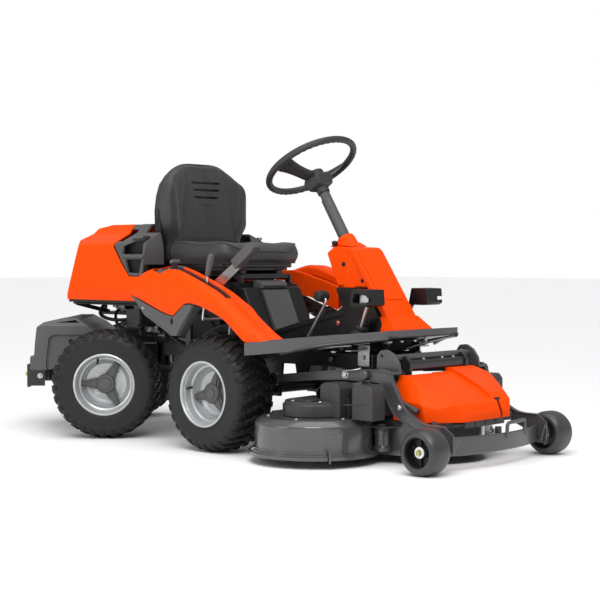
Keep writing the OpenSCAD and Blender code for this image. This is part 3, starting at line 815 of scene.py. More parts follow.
def even(path, count):
    """The closed outline with its points at even distances."""
    pts = [Vector(p) for p in path] + [Vector(path[0])]
    lengths = [0.0]
    for a, b in zip(pts, pts[1:]):
        lengths.append(lengths[-1] + (b - a).length)
    out, k = [], 0
    for i in range(count):
        want = lengths[-1] * i / count
        while lengths[k + 1] < want:
            k += 1
        t = (want - lengths[k]) / max(1e-9, lengths[k + 1] - lengths[k])
        out.append(tuple(pts[k].lerp(pts[k + 1], t)))
    return out


def cushion_top(x, y):
    """Height of the cushion at a point of its plan: crown, raised sides and sewn channels."""
    c = CUSHION
    side = abs(x) / c["half"]
    z = c["flat"] + 12 * math.exp(-((y - 200) / 70) ** 2)
    z += (7 + 17 * smooth_step(210, 420, y)) * smooth_step(0.5, 0.84, side)
    z -= 13 * smooth_step(0.9, 0.3, side) * smooth_step(250, 340, y)
    z -= 34 * smooth_step(175, c["front"] - 6, y) ** 1.3
    z -= 20 * smooth_step(0.9, 1.02, side) ** 1.5
    seam = abs(abs(x) - (128 + 26 * smooth_step(330, 200, y)))
    if y > 205:
        z += ring_groove(seam, 4.5, 4.2)
    z += ring_groove(abs(y - 214 - 16 * (x / 150) ** 2), 4.0, 3.0) * smooth_step(165, 140, abs(x))
    z += ring_groove(abs(y - 448 + 10 * (x / 170) ** 2), 5.0, 3.6)
    return z


def make_cushion():
    """Seat cushion, puffed by cloth pressure."""
    body = pillow(cushion_outline(), (0, 292), cushion_top, lambda x, y: CUSHION["base"])
    puff(body, 2.5)
    # Drain opening where the cushion meets the backrest
    recess = prism(rounded([(-72, 398), (-20, 398), (-26, 424), (-62, 424)], 8), 684, 760, "z")
    combine(body, recess)
    pad = piece("seat_cushion_look", [body], "seat", VINYL, ["seat_cushion"],
                 weighted=False, sharp=50)


BACK = {"half": 217, "low": 648, "top": 1022, "front": 452, "rear": 522}


def back_outline(count=140):
    """Outline of the backrest seen from the front, as (x, z)."""
    side = [
        (0, BACK["top"]), (78, BACK["top"] - 2), (128, 1004), (168, 975), (196, 938), (211, 893), (217, 838),
        (211, 790), (196, 752), (186, 718), (190, 684), (184, BACK["low"] + 4)
    ]
    right = curve_points([(x, 0, z) for x, z in side], 6)
    pts = [(p.x, p.z) for p in right]
    return even(pts + [(-x, z) for x, z in reversed(pts)][:-1], count)


def back_front(x, z):
    """Distance of the front face from the back; the face leans back and its sides come forward."""
    side = abs(x) / BACK["half"]
    t = (z - BACK["low"]) / (BACK["top"] - BACK["low"])
    depth = 63 - 26 * smooth_step(0.72, 1.04, t) - 16 * smooth_step(0.0, 0.5, t) * (1 - side)
    inner = 0.60 + 0.12 * smooth_step(0.2, 0.9, t)
    bolster = smooth_step(inner, inner + 0.15, side) * smooth_step(0.93, 0.80, t) * smooth_step(0.22, 0.40, t)
    depth += 13 * bolster
    depth -= 30 * smooth_step(0.86, 1.03, side) ** 1.4
    panel = abs(abs(x) - (92 + 30 * smooth_step(1.0, 0.55, t) + 16 * smooth_step(0.5, 0.2, t)))
    if t > 0.13:
        depth += ring_groove(panel, 4.0, 3.6)
    arch = abs(z - (716 + 12 * (1 - (x / 130) ** 2)))
    depth += ring_groove(arch, 4.5, 3.2) * smooth_step(150, 125, abs(x))
    return depth


def make_backrest():
    """Backrest with its slots, edge piping, raised panel and hard rear shell."""
    body = pillow(back_outline(), (0, 842), back_front, lambda x, z: 0.0, bulge=4.0)
    # From the plane of the outline to the machine: the plan's height is the distance in front of the rear
    remap(body, lambda x, z, d: (x, BACK["rear"] - 4 - d, z))
    puff(body, 2.5)
    slots = []
    for k, z in enumerate((948, 921, 893)):
        half = 74 - 6 * k
        outline = rounded([(-half, z - 4), (half, z - 4), (half, z + 4), (-half, z + 4)], 3.2)
        slots.append(prism(outline, 400, BACK["rear"] - 36, "y"))
    combine(body, slots)
    rim = [
        (x, 0, z) for x, z in back_outline(100)
    ]
    piping = sweep([(x * 0.975, BACK["rear"] - 16, 842 + (z - 842) * 0.975) for x, _, z in rim],
                   circle_section(4.0, 10), closed=True, up=(0, 1, 0))
    badge = bevel(prism(rounded([(-66, 868), (66, 868), (72, 880), (60, 884), (-56, 884), (-72, 878)], 4),
                        BACK["rear"] - 56.5, BACK["rear"] - 40, "y"), 2.2)
    shell_half = [(204, 655), (212, 760), (214, 838), (206, 893), (190, 938), (162, 972), (120, 998)]
    shell_outline = [(-x, z) for x, z in shell_half] + [(x, z) for x, z in reversed(shell_half)]
    backing = bevel(prism(rounded(shell_outline, 14, 3), BACK["rear"] - 34, BACK["rear"] - 1, "y"), 9, 4)
    pad = piece("seat_backrest_look", [body, piping, badge, (backing, BLACK)], "seat", VINYL,
          ["seat_backrest"], weighted=False, sharp=50)


def make_seat_base():
    """Seat pan on its rails, and the tilting bracket under it."""
    pan = bevel(prism(rounded([(-184, 166), (184, 166), (180, 450), (-180, 450)], 48, 6), 626, 646, "z"), 5)
    lip = bevel(prism(rounded([(-168, 176), (168, 176), (165, 440), (-165, 440)], 44, 6), 616, 628, "z"), 2)
    rails = []
    for x in (-95, 95):
        rails.append(bevel(block((x - 15, 165, 604.5), (x + 15, 440, 618)), 2))
        for y in (190, 410):
            rails.append(bevel(block((x - 22, y - 14, 612), (x + 22, y + 14, 622)), 2))
    knob = [rod((-150, 168, 612), (-150, 154, 612), 9), rod((-150, 166, 612), (-104, 180, 612), 4)]
    piece("seat_pan_look", [pan, lip] + rails + in_material(knob, BLACK), "seat", BLACK_STEEL,
          ["seat_pan"])
    plate = bevel(block((-118, 147, 596), (118, 425, 604)), 2)
    ears = [bevel(block((s * 118 - 3, 150, 583), (s * 118 + 3, 190, 600)), 1.5) for s in (-1, 1)]
    springs = []
    for x in (-70, 70):
        turns = [(x + 15 * math.cos(t * 0.55), 380 + 15 * math.sin(t * 0.55), 597 - 18 + 0.28 * t)
                 for t in range(62)]
        springs.append(tube(turns, 2.6, 8, smooth=False))
    axle = rod((-131, 150, 591), (131, 150, 591), 5)
    boss = rod((-118, 150, 591), (118, 150, 591), 8)
    piece("seat_bracket_look", [plate, axle, boss] + ears + springs, "seat_base", BLACK_STEEL,
          ["seat_bracket"])


# ---------- Steering wheel and column ----------

RING = {"radius": 161.5, "tube": 12.5, "rise": 60}


def wheel_ring(count=288, around=20):
    """The rim, flattened inside, with finger grips under its left and right arcs."""
    rings = []
    for k in range(count):
        a = 2 * math.pi * k / count
        grip = smooth_step(0.25, 0.6, abs(math.sin(a)))
        ring = []
        for i in range(around):
            b = 2 * math.pi * i / around
            inner = max(0.0, -math.cos(b))
            under = max(0.0, -math.sin(b))
            wave = 0.5 + 0.5 * math.cos(44 * a)
            r = RING["tube"] - 1.1 * inner - (2.0 * wave * grip) * max(inner, under * 0.8)
            ring.append(((RING["radius"] + r * math.cos(b)) * math.cos(a),
                         (RING["radius"] + r * math.cos(b)) * math.sin(a), RING["rise"] + r * math.sin(b)))
        rings.append(ring)
    rings.append(rings[0])
    return weld(loft(rings, caps=False))


def spoke(side):
    """Broad flat spoke, dished, widening where it runs into the rim."""
    stations = [
        (14, 27, 4, 22), (38, 27, 7, 27), (58, 25, 13, 33), (92, 27, 30, 46),
        (126, 34, 46, 59), (150, 46, 55, 66)
    ]
    rings = []
    for x, half, low, high in stations:
        mid = (low + high) / 2
        thick = (high - low) / 2
        rings.append([(side * x, half * u, mid + thick * v) for u, v in (
            (-1, -0.2), (-0.86, -0.75), (-0.4, -1), (0.4, -1), (0.86, -0.75), (1, -0.2),
            (0.92, 0.55), (0.7, 0.85), (0.25, 0.5), (-0.25, 0.5), (-0.7, 0.85), (-0.92, 0.55))])
    obj = loft(rings)
    return subdivide(obj, 2)


def make_steering():
    """Steering wheel, hub and the column tube."""
    parts = [wheel_ring(), spoke(-1), spoke(1)]
    piece("steering_wheel_look", parts, "steering", SOFT_GRIP, ["steering_wheel"], COLUMN,
          weighted=False, sharp=45)
    housing = loft([
        [(x * s, y * s2, z) for x, y in rounded([(-1, -1), (1, -1), (1, 1), (-1, 1)], 0.35, 4)]
        for s, s2, z in ((24, 24, -36), (34, 33, -30), (41, 38, -12), (42, 39, 2), (38, 34, 12), (32, 28, 18))
    ])
    cap = lathe([(0, 14), (30, 14), (30.5, 26), (29, 30), (26, 32), (24, 32.5), (22, 31), (12, 31), (0, 31)],
                64, closed=False)
    collar = lathe([(19.5, -57), (22, -56), (23, -40), (22, -32), (12, -30), (12, -57)], 48)
    piece("steering_hub_look", [bevel(housing, 1.5, 2), cap, collar], "steering", SOFT_GRIP,
          ["steering_hub"], COLUMN)
    # Faceted tube round the column, with a raised rib on each side
    lo, hi = -386, -58
    facets = [(19, 0), (17.5, 7), (13, 14), (4, 18.5), (-4, 18.5), (-13, 14), (-17.5, 7), (-19, 0),
              (-17.5, -8), (-13, -15), (-4, -18.5), (4, -18.5), (13, -15), (17.5, -8)]
    ends = [[(x * k, y * k, z) for x, y in facets] for k, z in ((1.06, lo), (0.94, hi))]
    tube_body = bevel(loft(ends), 0.8, 2)
    ribs = []
    for s in (-1, 1):
        ribs.append(bevel(prism([(s * 9 - 2, 14), (s * 9 + 2, 13), (s * 9 + 2, 18), (s * 9 - 2, 19)],
                                lo + 20, hi - 20, "z"), 0.8, 2))
    knob = [rod((-20, -12, lo + 55), (-34, -20, lo + 62), 5),
            rod((-32, -18, lo + 60), (-44, -26, lo + 68), 11)]
    piece("steering_column_look", [tube_body] + ribs + in_material(knob, BLACK), "chassis", GREY,
          ["steering_column"], COLUMN)


# ---------- Console, tunnel and footplate ----------


def slice_off(obj, point, normal):
    """Cuts away what lies beyond the plane and closes the cut."""
    bm = bmesh.new()
    bm.from_mesh(obj.data)
    cut = bmesh.ops.bisect_plane(
        bm, geom=bm.verts[:] + bm.edges[:] + bm.faces[:], plane_co=Vector(point), plane_no=Vector(normal),
        clear_outer=True)
    edges = [g for g in cut["geom_cut"] if isinstance(g, bmesh.types.BMEdge)]
    bmesh.ops.holes_fill(bm, edges=edges, sides=0)
    bmesh.ops.recalc_face_normals(bm, faces=bm.faces)
    bm.to_mesh(obj.data)
    bm.free()
    return obj


def slice_both(obj, points):
    """The plane through three points on the right side, and its mirror image; it cuts off what is outside."""
    a, b, c = (Vector(p) for p in points)
    n = (b - a).cross(c - a).normalized()
    if n.x > 0:
        n = -n
    slice_off(obj, a, n)
    return slice_off(obj, (-a.x, a.y, a.z), (-n.x, n.y, n.z))


FACE_TOP, FACE_FOOT = (-350, 686), (-515, 440)


def console_face():
    """Frame of the console's sloping front: x across, y up the slope, z outward; origin at its foot."""
    dy, dz = FACE_TOP[0] - FACE_FOOT[0], FACE_TOP[1] - FACE_FOOT[1]
    length = math.hypot(dy, dz)
    up = Vector((0, dy / length, dz / length))
    out = Vector((0, -dz / length, dy / length))
    m = shifted(0, *FACE_FOOT)
    return m @ Matrix(((1, 0, 0, 0), (0, up.y, out.y, 0), (0, up.z, out.z, 0), (0, 0, 0, 1)))


def make_console():
    """Orange console that stands round the column."""
    body = prism([(-219, 679), (-252, 701), (-322, 698), (-346, 682), (-420, 572), (-398, 561), (-267, 566)],
                 -71, 71)
    bevel(body, 6, 4)
    band = prism([(-318, 699), (-336, 696), FACE_TOP, FACE_FOOT, (-547, 418), (-550, 404), (-498, 404),
                  (-492, 436), (-398, 574), (-330, 676), (-312, 690)], -77, 77)
    bevel(band, 5, 4)
    foot = loft([
        [(-w, y0, z), (w, y0, z), (w, y1, z), (-w, y1, z)]
        for w, y0, y1, z in ((102, -551, -486, 400), (102, -551, -486, 422), (92, -536, -484, 438),
                             (77, -506, -462, 466))])
    bevel(foot, 4, 3)
    face = console_face()
    # Raised upper field with a cut lower corner, and a step above the foot
    field = bevel(prism(rounded([(-40, 96), (46, 96), (62, 118), (66, 292), (-64, 292), (-64, 150)], 4),
                        -6, 3.2, "z"), 2.6, 3)
    step = bevel(prism(rounded([(-62, -6), (66, -6), (70, 26), (-54, 26)], 3), -6, 2.6, "z"), 2.2, 3)
    for part in (field, step):
        move(part, face)
    collar = lathe([(20, -246), (29, -242), (32, -250), (36, -292), (44, -322), (44, -340), (20, -340)], 64)
    move(collar, MACHINE.inverted() @ COLUMN)
    shoulder = bevel(prism([(-206, 700), (-232, 716), (-276, 716), (-312, 700)], -46, 46), 7, 4)
    fillet = []
    for s in (-1, 1):
        fillet.append(bevel(prism([(-300, 560), (-350, 560), (-334, 690), (-318, 690)],
                                  min(s * 66, s * 74), max(s * 66, s * 74)), 3, 3))
    screws = []
    for s in (-1, 1):
        screws += [(b, BLACK) for b in bolt((s * 71, -298, 640), (s, 0, 0), 5.5, 3)]
        screws += [(b, BLACK) for b in bolt((s * 71, -382, 584), (s, 0, 0), 4.5, 3)]
    piece("steering_console_look", [body, band, foot, field, step, collar, shoulder] + fillet + screws,
          "chassis", ORANGE, ["steering_console"])


def make_tunnel():
    """Black tunnel between the feet, with the pedal boots."""
    outline = rounded([(-263, 560), (-298, 486), (-112, 441), (19, 406), (19, 346), (-468, 346), (-494, 406),
                       (-400, 557)], 7)
    body = bevel(prism(outline, -75, 75), 3.5, 3)
    shoulder = bevel(prism([(-296, 478), (-112, 434), (14, 400), (14, 388), (-112, 420), (-300, 464)],
                           -79, 79), 2.5, 2)
    ribs = []
    for y in (-64, -120, -176):
        z = 408 - (y + 64) * 0.23
        ribs.append(bevel(block((-77, y - 5, 350), (77, y + 5, z)), 2, 2))
    bolts = []
    for s in (-1, 1):
        bolts += [(b, COPPER) for b in bolt((s * 75, -276, 438), (s, 0, 0), 6, 4)]
        bolts += [(b, SILVER) for b in bolt((s * 75, -440, 400), (s, 0, 0), 4.5, 3)]
    boots = []
    for s in (-1, 1):
        boots.append(lathe([(7, 64), (13, 60), (12, 54), (19, 48), (17, 40), (25, 30), (23, 20), (32, 8),
                            (34, 0), (7, 0)], 40))
        move(boots[-1], shifted(s * 108, -404, 398) @ turned(17, "X"))
    piece("console_tunnel_look", [body, shoulder] + ribs + bolts + in_material(boots, RUBBER),
          "chassis", BLACK, ["console_tunnel"])


FOOT_SIDE = [(-186, 339), (-186, 381), (-330, 396), (-600, 426), (-600, 404), (-330, 354)]


def foot_outline(inset=0.0):
    """Plan of the footplate."""
    half = 440 - inset
    right = [(-half, -186 - inset), (-half, -300), (-190 + inset, -590 + inset), (-120, -600 + inset)]
    return right + [(-x, y) for x, y in reversed(right)]


def make_footplate():
    """Footplate with ribs, pedal cut-outs and a folded lip."""
    plate = prism(FOOT_SIDE, -441, 441)
    combine(plate, prism(rounded(foot_outline(), [0, 26, 22, 8, 8, 22, 26, 0]), 320, 440, "z"), "INTERSECT")
    hollow = prism([(y, z - (5 if z in (381, 396, 426) else 30)) for y, z in FOOT_SIDE], -441, 441)
    combine(hollow, prism(foot_outline(5), 280, 450, "z"), "INTERSECT")
    combine(plate, hollow)
    cuts = [block((-76, -496, 320), (76, -180, 440))]
    for s in (-1, 1):
        cuts.append(prism(rounded([(s * 120 - 13, -486), (s * 120 + 13, -486), (s * 120 + 13, -384),
                                   (s * 120 - 13, -384)], 6), 380, 440, "z"))
    cuts.append(prism(rounded([(-163, -272), (-137, -272), (-137, -178), (-163, -178)], 6), 360, 420, "z"))
    combine(plate, cuts)
    bevel(dissolve(plate), 4, 3)
    # Anti-slip ribs on both treads, following the slope
    ribs = []
    slope = (396 - 426) / (-330 + 600)

    def top(y):
        return 396 + (y + 330) * slope if y < -330 else 381 + (y + 186) * (396 - 381) / (-330 + 186)

    for k in range(9):
        y = -226 - 26 * k
        inner = 178 if y > -290 else 150
        outer = 418 if y > -300 else 418 - (-300 - y) * 0.86
        for s in (-1, 1):
            a, b = sorted((s * inner, s * outer))
            ribs.append(bevel(prism(rounded([(y - 5, top(y) - 3), (y + 5, top(y) - 3), (y + 4, top(y) + 2.6),
                                             (y - 4, top(y) + 2.6)], 1.2, 2), a, b), 1.2, 2))
    # Folded lip with slots under the front edge
    lip = prism([(-596, 406), (-560, 402), (-470, 384), (-470, 380), (-560, 396), (-597, 400)], -186, 186)
    slots = [prism(rounded([(x - 9, -566), (x + 9, -566), (x + 9, -556), (x - 9, -556)], 4), 380, 410, "z")
             for x in range(-150, 151, 50)]
    combine(lip, slots)
    frame_bars = []
    for s in (-1, 1):
        frame_bars.append(tube([(s * 182, -588, 398), (s * 330, -424, 376), (s * 410, -320, 350)], 7, 12))
    piece("footplate_look", [plate] + ribs + [(bevel(lip, 1.2, 2), BLACK_STEEL)]
          + in_material(frame_bars, BLACK_STEEL), "chassis", GREY, ["footplate"])


PAD_SIDE = [(-436, 508), (-447, 558), (-512, 557), (-516, 507), (-502, 500), (-442, 500)]


def make_foot_pedal(name, node, body, side):
    """A block-shaped pedal on a bent stalk; side is -1 on the right and 1 on the left."""
    a, b = sorted((side * 112, side * 199))
    pad = bevel(prism(rounded(PAD_SIDE, 5, 3), a, b), 3.5, 3)
    well = prism_on(side, rounded([(-447, 515), (-458, 546), (-508, 537), (-521, 521),
                                   (-497, 509)], 4, 3), 172, 205)
    combine(pad, well)
    ribs = []
    for k in range(5):
        t = (k + 0.5) / 5
        y, z = -451 + (-515 + 451) * t, 556 + (544 - 556) * t
        ribs.append(bevel(block((a + 8, y - 3, z - 2), (b - 8, y + 3, z + 2.6)), 1.2, 2))
    liner = (bevel(block((min(side * 174, side * 178), -500, 512), (max(side * 174, side * 178), -462, 540)),
                   1), SILVER)
    stalk = (tube([(side * 120, -400, 366), (side * 120, -424, 440), (side * 120, -446, 500),
                   (side * 122, -462, 512)], 6.5, 16), SILVER)
    sleeve = rod((side * 120 - 16, -400, 362), (side * 120 + 16, -400, 362), 14)
    piece(name, [pad, liner, stalk, (sleeve, BLACK_STEEL)] + ribs, body, BLACK, [node])


def make_reverse_pedal():
    """Small round pad on a bent rod, at the heel."""
    stalk = tube([(-150, -188, 366), (-150, -214, 404), (-150, -262, 474), (-150, -287, 512),
                  (-150, -280, 524), (-150, -268, 532)], 5, 16)
    pad = move(lathe([(0, -25), (13, -25), (17, -22), (18.5, -16), (18.5, 16), (17, 22), (13, 25), (0, 25)],
                     48, closed=False),
               shifted(-150, -268, 532) @ ALONG_X)
    rings = [move(lathe([(17.5, h - 2), (19.4, h - 1), (19.4, h + 1), (17.5, h + 2)], 48),
                  shifted(-150, -268, 532) @ ALONG_X)
             for h in (-12, -4, 4, 12)]
    sleeve = rod((-162, -186, 358), (-138, -186, 358), 14)
    piece("reverse_pedal_look", [stalk, (pad, RUBBER), (sleeve, BLACK_STEEL)] + in_material(rings, RUBBER),
          "reverse_foot", SILVER, ["reverse_pedal"])


# ---------- Pedestal and front cover ----------


def make_pedestal():
    """Box that carries the seat."""
    walls = bevel(prism(rounded([(152, 346), (152, 574), (440, 574), (440, 346)], 6), -150, 150), 4, 3)
    steps = []
    for s in (-1, 1):
        steps.append(bevel(block_on(s, (140, 168, 470), (196, 300, 566)), 6))
        steps.append(bevel(block_on(s, (140, 210, 360), (172, 410, 480)), 5))
        steps.append(bevel(block_on(s, (148, 318, 520), (166, 420, 560)), 4))
    ears = []
    for s in (-1, 1):
        ear = prism_on(s, rounded([(140, 566), (140, 601), (162, 601), (166, 566)], 7), 121, 130)
        combine(ear, rod((s * 112, 150, 591), (s * 138, 150, 591), 5.2, chamfer=0.1))
        ears.append(bevel(ear, 1.2, 2))
    bumpers = []
    for x in (-96, 96):
        bumpers.append(move(lathe([(0, 0), (16, 0), (18, 3), (14, 8), (15, 13), (12, 18), (0, 18)], 32,
                                  closed=False), shifted(x, 396, 574)))
    latch = bevel(block((-26, 424, 574), (26, 446, 592)), 3)
    piece("seat_pedestal_look", [walls] + steps + in_material(ears, BLACK_STEEL)
          + in_material(bumpers, RUBBER) + [latch], "chassis", BLACK, ["seat_pedestal"])


def make_front_cover():
    """Sloping cover in front of the seat, with the dark boxes beside it."""
    outline = rounded([(27, 404), (98, 556), (104, 571), (147, 577), (156, 404)], [0, 0, 8, 5, 0], 4)
    body = prism(outline, -65, 65)
    bevel(body, 4, 3)
    groove = prism([(88, 549), (92, 557), (110, 549), (106, 541)], -70, 70)
    combine(body, groove)
    bevel(dissolve(body, 0.4), 0.8, 2, 40)
    cap = bevel(prism([(92, 560), (101, 575), (143, 582), (148, 574)], -62, 62), 3, 3)
    wings = []
    for s in (-1, 1):
        wings.append(bevel(prism_on(s, [(30, 380), (110, 556), (150, 556), (150, 360),
                                        (40, 360)], 60, 148), 7, 3))
        wings.append(bevel(prism_on(s, [(52, 350), (60, 400), (156, 470), (156, 350)], 60, 190), 6))
    lip = bevel(prism([(20, 400), (28, 416), (44, 400)], -66, 66), 2, 2)
    piece("front_cover_look", [body, cap] + in_material(wings, BLACK) + [lip], "chassis", GREY,
          ["front_cover"])


# ---------- Mudguards, trims and hand controls ----------


def along(table, y):
    """The value at y of a curve given by a few (y, value) points, smooth between them."""
    pts = sorted(table)
    if y <= pts[0][0]:
        return pts[0][1]
    for k, ((ya, va), (yb, vb)) in enumerate(zip(pts, pts[1:])):
        if y <= yb:
            t = (y - ya) / (yb - ya)
            before = pts[max(0, k - 1)]
            after = pts[min(len(pts) - 1, k + 2)]
            slope_a = (vb - before[1]) / (yb - before[0])
            slope_b = (after[1] - va) / (after[0] - ya)
            h = yb - ya
            return ((2 * t ** 3 - 3 * t ** 2 + 1) * va + (t ** 3 - 2 * t ** 2 + t) * h * slope_a
                    + (-2 * t ** 3 + 3 * t ** 2) * vb + (t ** 3 - t ** 2) * h * slope_b)
    return pts[-1][1]


MUDGUARD_TOP = [(402, 556), (390, 580), (365, 603), (322, 619), (240, 635), (150, 617), (83, 594), (0, 562),
             (-46, 541), (-98, 507), (-140, 476), (-181, 447), (-230, 414), (-278, 388)]
MUDGUARD_LOW = [(402, 530), (367, 522), (300, 499), (230, 474), (173, 461)]
MUDGUARD_FRONT_LOW = [(112, 504), (79, 506), (24, 494), (-66, 462), (-108, 436), (-139, 412), (-178, 384)]


def mudguard_low(y):
    """Height of the mudguard's lower edge at y."""
    if y > 173:
        return along(MUDGUARD_LOW, y)
    if y > 112:
        return 461 + (504 - 461) * (173 - y) / (173 - 112)
    if y > -178:
        return along(MUDGUARD_FRONT_LOW, y)
    return 384 - 4 * smooth_step(-178, -200, y)


def mudguard_section(y):
    """Half of the mudguard at one y, from the outer lower edge over the crown to the inner edge."""
    low, top = mudguard_low(y), along(MUDGUARD_TOP, y)
    tall = top - low
    fade = smooth_step(402, 330, y)
    drop = 12 * (1 - fade)
    front = smooth_step(-20, -110, y)
    dip = 15 * smooth_step(10, -50, y) * smooth_step(-262, -190, y)
    crown = 5 * smooth_step(-30, -120, y)
    lean = 6 * (1 - front)
    outer = [
        (-434, low), (-439, low + min(9, tall * 0.2)), (-440, low + tall * 0.42),
        (-439.5, low + tall * 0.62), (-436, top - tall * 0.20 - crown), (-428, top - 8 - drop - crown),
        (-416, top - 2.5 - drop), (-404, top - drop), (-394, top + 0.5 - drop)
    ]
    inner = [
        (-387, top - drop - dip * 0.45), (-376, top - drop - dip), (-362, top - drop - dip),
        (-352, top - drop - dip * 0.4 + 1), (-346, top - drop + 1 - lean * 0.4),
        (-338, top - drop - 1 - lean), (-333, top - drop - 8 - lean), (-332, top - drop - 30 - lean)
    ]
    return outer + inner


def mudguard_shell():
    """Open skin of the mudguard through its sections."""
    stations = [402, 400, 396, 388, 376, 360, 338, 310, 280, 250, 222, 198, 180, 173, 160, 145, 128, 112, 100]
    stations += list(range(88, -270, -12)) + [-274, -278]
    rings = [[(x, y, z) for x, z in mudguard_section(y)] for y in stations]
    return loft(rings, closed=False, caps=False)


def outward(obj, centre):
    """Turns an open skin's faces away from a point inside it."""
    bm = bmesh.new()
    bm.from_mesh(obj.data)
    bmesh.ops.recalc_face_normals(bm, faces=bm.faces)
    score = sum(f.normal.dot(f.calc_center_median() - Vector(centre)) * f.calc_area() for f in bm.faces)
    if score < 0:
        bmesh.ops.reverse_faces(bm, faces=bm.faces)
    bm.to_mesh(obj.data)
    bm.free()
    return obj


def inner_wall():
    """Curved panel between the mudguard and the pedestal, with a rolled top edge."""
    top = [(388, 560), (386, 596), (360, 612), (296, 614), (240, 604), (188, 590), (120, 573), (60, 553)]
    low = [(386, 548), (340, 540), (321, 540), (254, 523), (180, 509), (115, 486), (60, 466), (52, 470)]
    rings = []
    for (yt, zt), (yl, zl) in zip(top, low):
        rings.append([(-294, yl, zl), (-297, (yl + yt) / 2, (zl + zt) / 2), (-299, yt, zt - 8),
                      (-302, yt, zt), (-308, yt, zt + 2), (-314, yt, zt - 2), (-315, yt, zt - 10)])
    skin = outward(loft(rings, closed=False, caps=False), (-340, 220, 520))
    return shell(skin, 4)


def mudguard_bridge():
    """Joins the mudguard's crown to the inner wall behind the levers."""
    return bevel(prism([(-348, 606), (-330, 604), (-312, 600), (-300, 596), (-300, 588), (-348, 596)],
                       322, 372, "y"), 2, 2)


# Diamond plate of the throttle, in its own plane, and where that plane lies: it dips towards the side
PANEL_OUTLINE = [(-44, 2), (-20, -64), (0, -72), (42, -38), (44, -2), (20, 62), (2, 74), (-34, 46)]
PANEL_PLACE = shifted(-391, 236, 616) @ turned(-25, "Y")


def make_mudguards():
    """Both mudguards, the lever slot on the right one, and the wheel arch liners."""
    for side, name in ((-1, "right"), (1, "left")):
        skin = shell(outward(mudguard_shell(), (-390, 60, 420)), 4)
        cuts = []
        if side < 0:
            slot = prism(rounded([(-407, -66), (-387, -66), (-387, 184), (-407, 184)], 4), 440, 680, "z")
            recess = move(prism(rounded(PANEL_OUTLINE, 7), -3, 90, "z"), PANEL_PLACE)
            cuts = [slot, recess]
        combine(skin, cuts, folded=True)
        parts = [skin, inner_wall(), mudguard_bridge()]
        rail = tube([(-338, 150, 590), (-335, 60, 556), (-334, -40, 526),
                     (-334, -110, 492), (-336, -150, 458)],
                    4.5, 10)
        parts.append(rail)
        if side < 0:
            path = rounded([(-408.5, -70), (-385.5, -70), (-385.5, 186), (-408.5, 186)], 4)
            frame_lip = [(x, y, along(MUDGUARD_TOP, y) + 0.8) for x, y in dense(path, 10)]
            parts.append((sweep(frame_lip, circle_section(1.6, 8), closed=True), BLACK))
            # Soft strips that close the slot on both sides of the lever
            for x0, x1 in ((-407, -402.5), (-391.5, -387)):
                stations = range(-62, 181, 11)
                strip = loft([[(x0, y, along(MUDGUARD_TOP, y) - 6), (x1, y, along(MUDGUARD_TOP, y) - 6),
                               (x1, y, along(MUDGUARD_TOP, y) - 1.5), (x0, y, along(MUDGUARD_TOP, y) - 1.5)]
                              for y in stations])
                parts.append((strip, RUBBER))
        if side > 0:
            for p in list(parts):
                obj = p[0] if isinstance(p, tuple) else p
                move(obj, Matrix.Diagonal((-1, 1, 1, 1)))
                obj.data.flip_normals()
        piece(name + "_fender_look", parts, "chassis", ORANGE, [name + "_fender"], sharp=34)
    # Curved liners over the front tyres, seen under the mudguards
    liner = []
    arc = [(math.radians(a), 226 + 4 * math.sin(math.radians(a))) for a in range(22, 138, 6)]
    rings = []
    for x in (-334, -326, -250, -240):
        lift = 0 if x == -334 else 4
        rings.append([(x, r * math.cos(a), 200 + (r + lift) * math.sin(a)) for a, r in arc])
    skin = outward(loft(rings, closed=False, caps=False), (-290, 0, 200))
    liner.append(shell(skin, 3))
    liner.append(mirrored(liner[0]))
    piece("wheel_arch_liners", liner, "chassis", DARK_GREY)


def dense(path, step):
    """The closed outline with extra points so that none are further apart than step."""
    out = []
    for a, b in zip(path, path[1:] + path[:1]):
        n = max(1, int(math.hypot(b[0] - a[0], b[1] - a[1]) / step))
        out += [(a[0] + (b[0] - a[0]) * k / n, a[1] + (b[1] - a[1]) * k / n) for k in range(n)]
    return out


TRIM = [(398, 528), (363, 517), (300, 494), (230, 470), (172, 457), (113, 500),
        (84, 502), (72, 494), (128, 428), (152, 392), (178, 391), (322, 459), (362, 500)]


def make_trims():
    """V-shaped grey trims under the mudguards."""
    parts = []
    for side in (-1, 1):
        a, b = sorted((side * 435.6, side * 428))
        plate = prism(rounded(TRIM, [0, 0, 0, 0, 3, 3, 6, 6, 4, 8, 10, 14, 8], 3), a, b)
        hole = prism([(178 + 7 * math.cos(t), 441 + 12 * math.sin(t)) for t in
                      (2 * math.pi * k / 28 for k in range(28))], a - 5, b + 5)
        combine(plate, hole)
        parts.append(bevel(plate, 1.8, 3))
        flange = prism_on(side, [(150, 391), (178, 391), (322, 459), (362, 498),
                                 (358, 504), (318, 466), (176, 398),
                        (154, 398), (76, 500), (70, 494)], 430, 392)
        parts.append(bevel(flange, 2, 2))
        rib = prism_on(side, [(196, 402), (306, 455), (302, 461), (192, 408)], 434, 437.2)
        parts.append(bevel(rib, 1.2, 2))
        parts += [(p, SILVER) for p in bolt((side * 432, 330, 484), (side, 0, 0), 5, 3)]
    piece("side_trims_look", parts, "chassis", GREY, ["side_trims"])


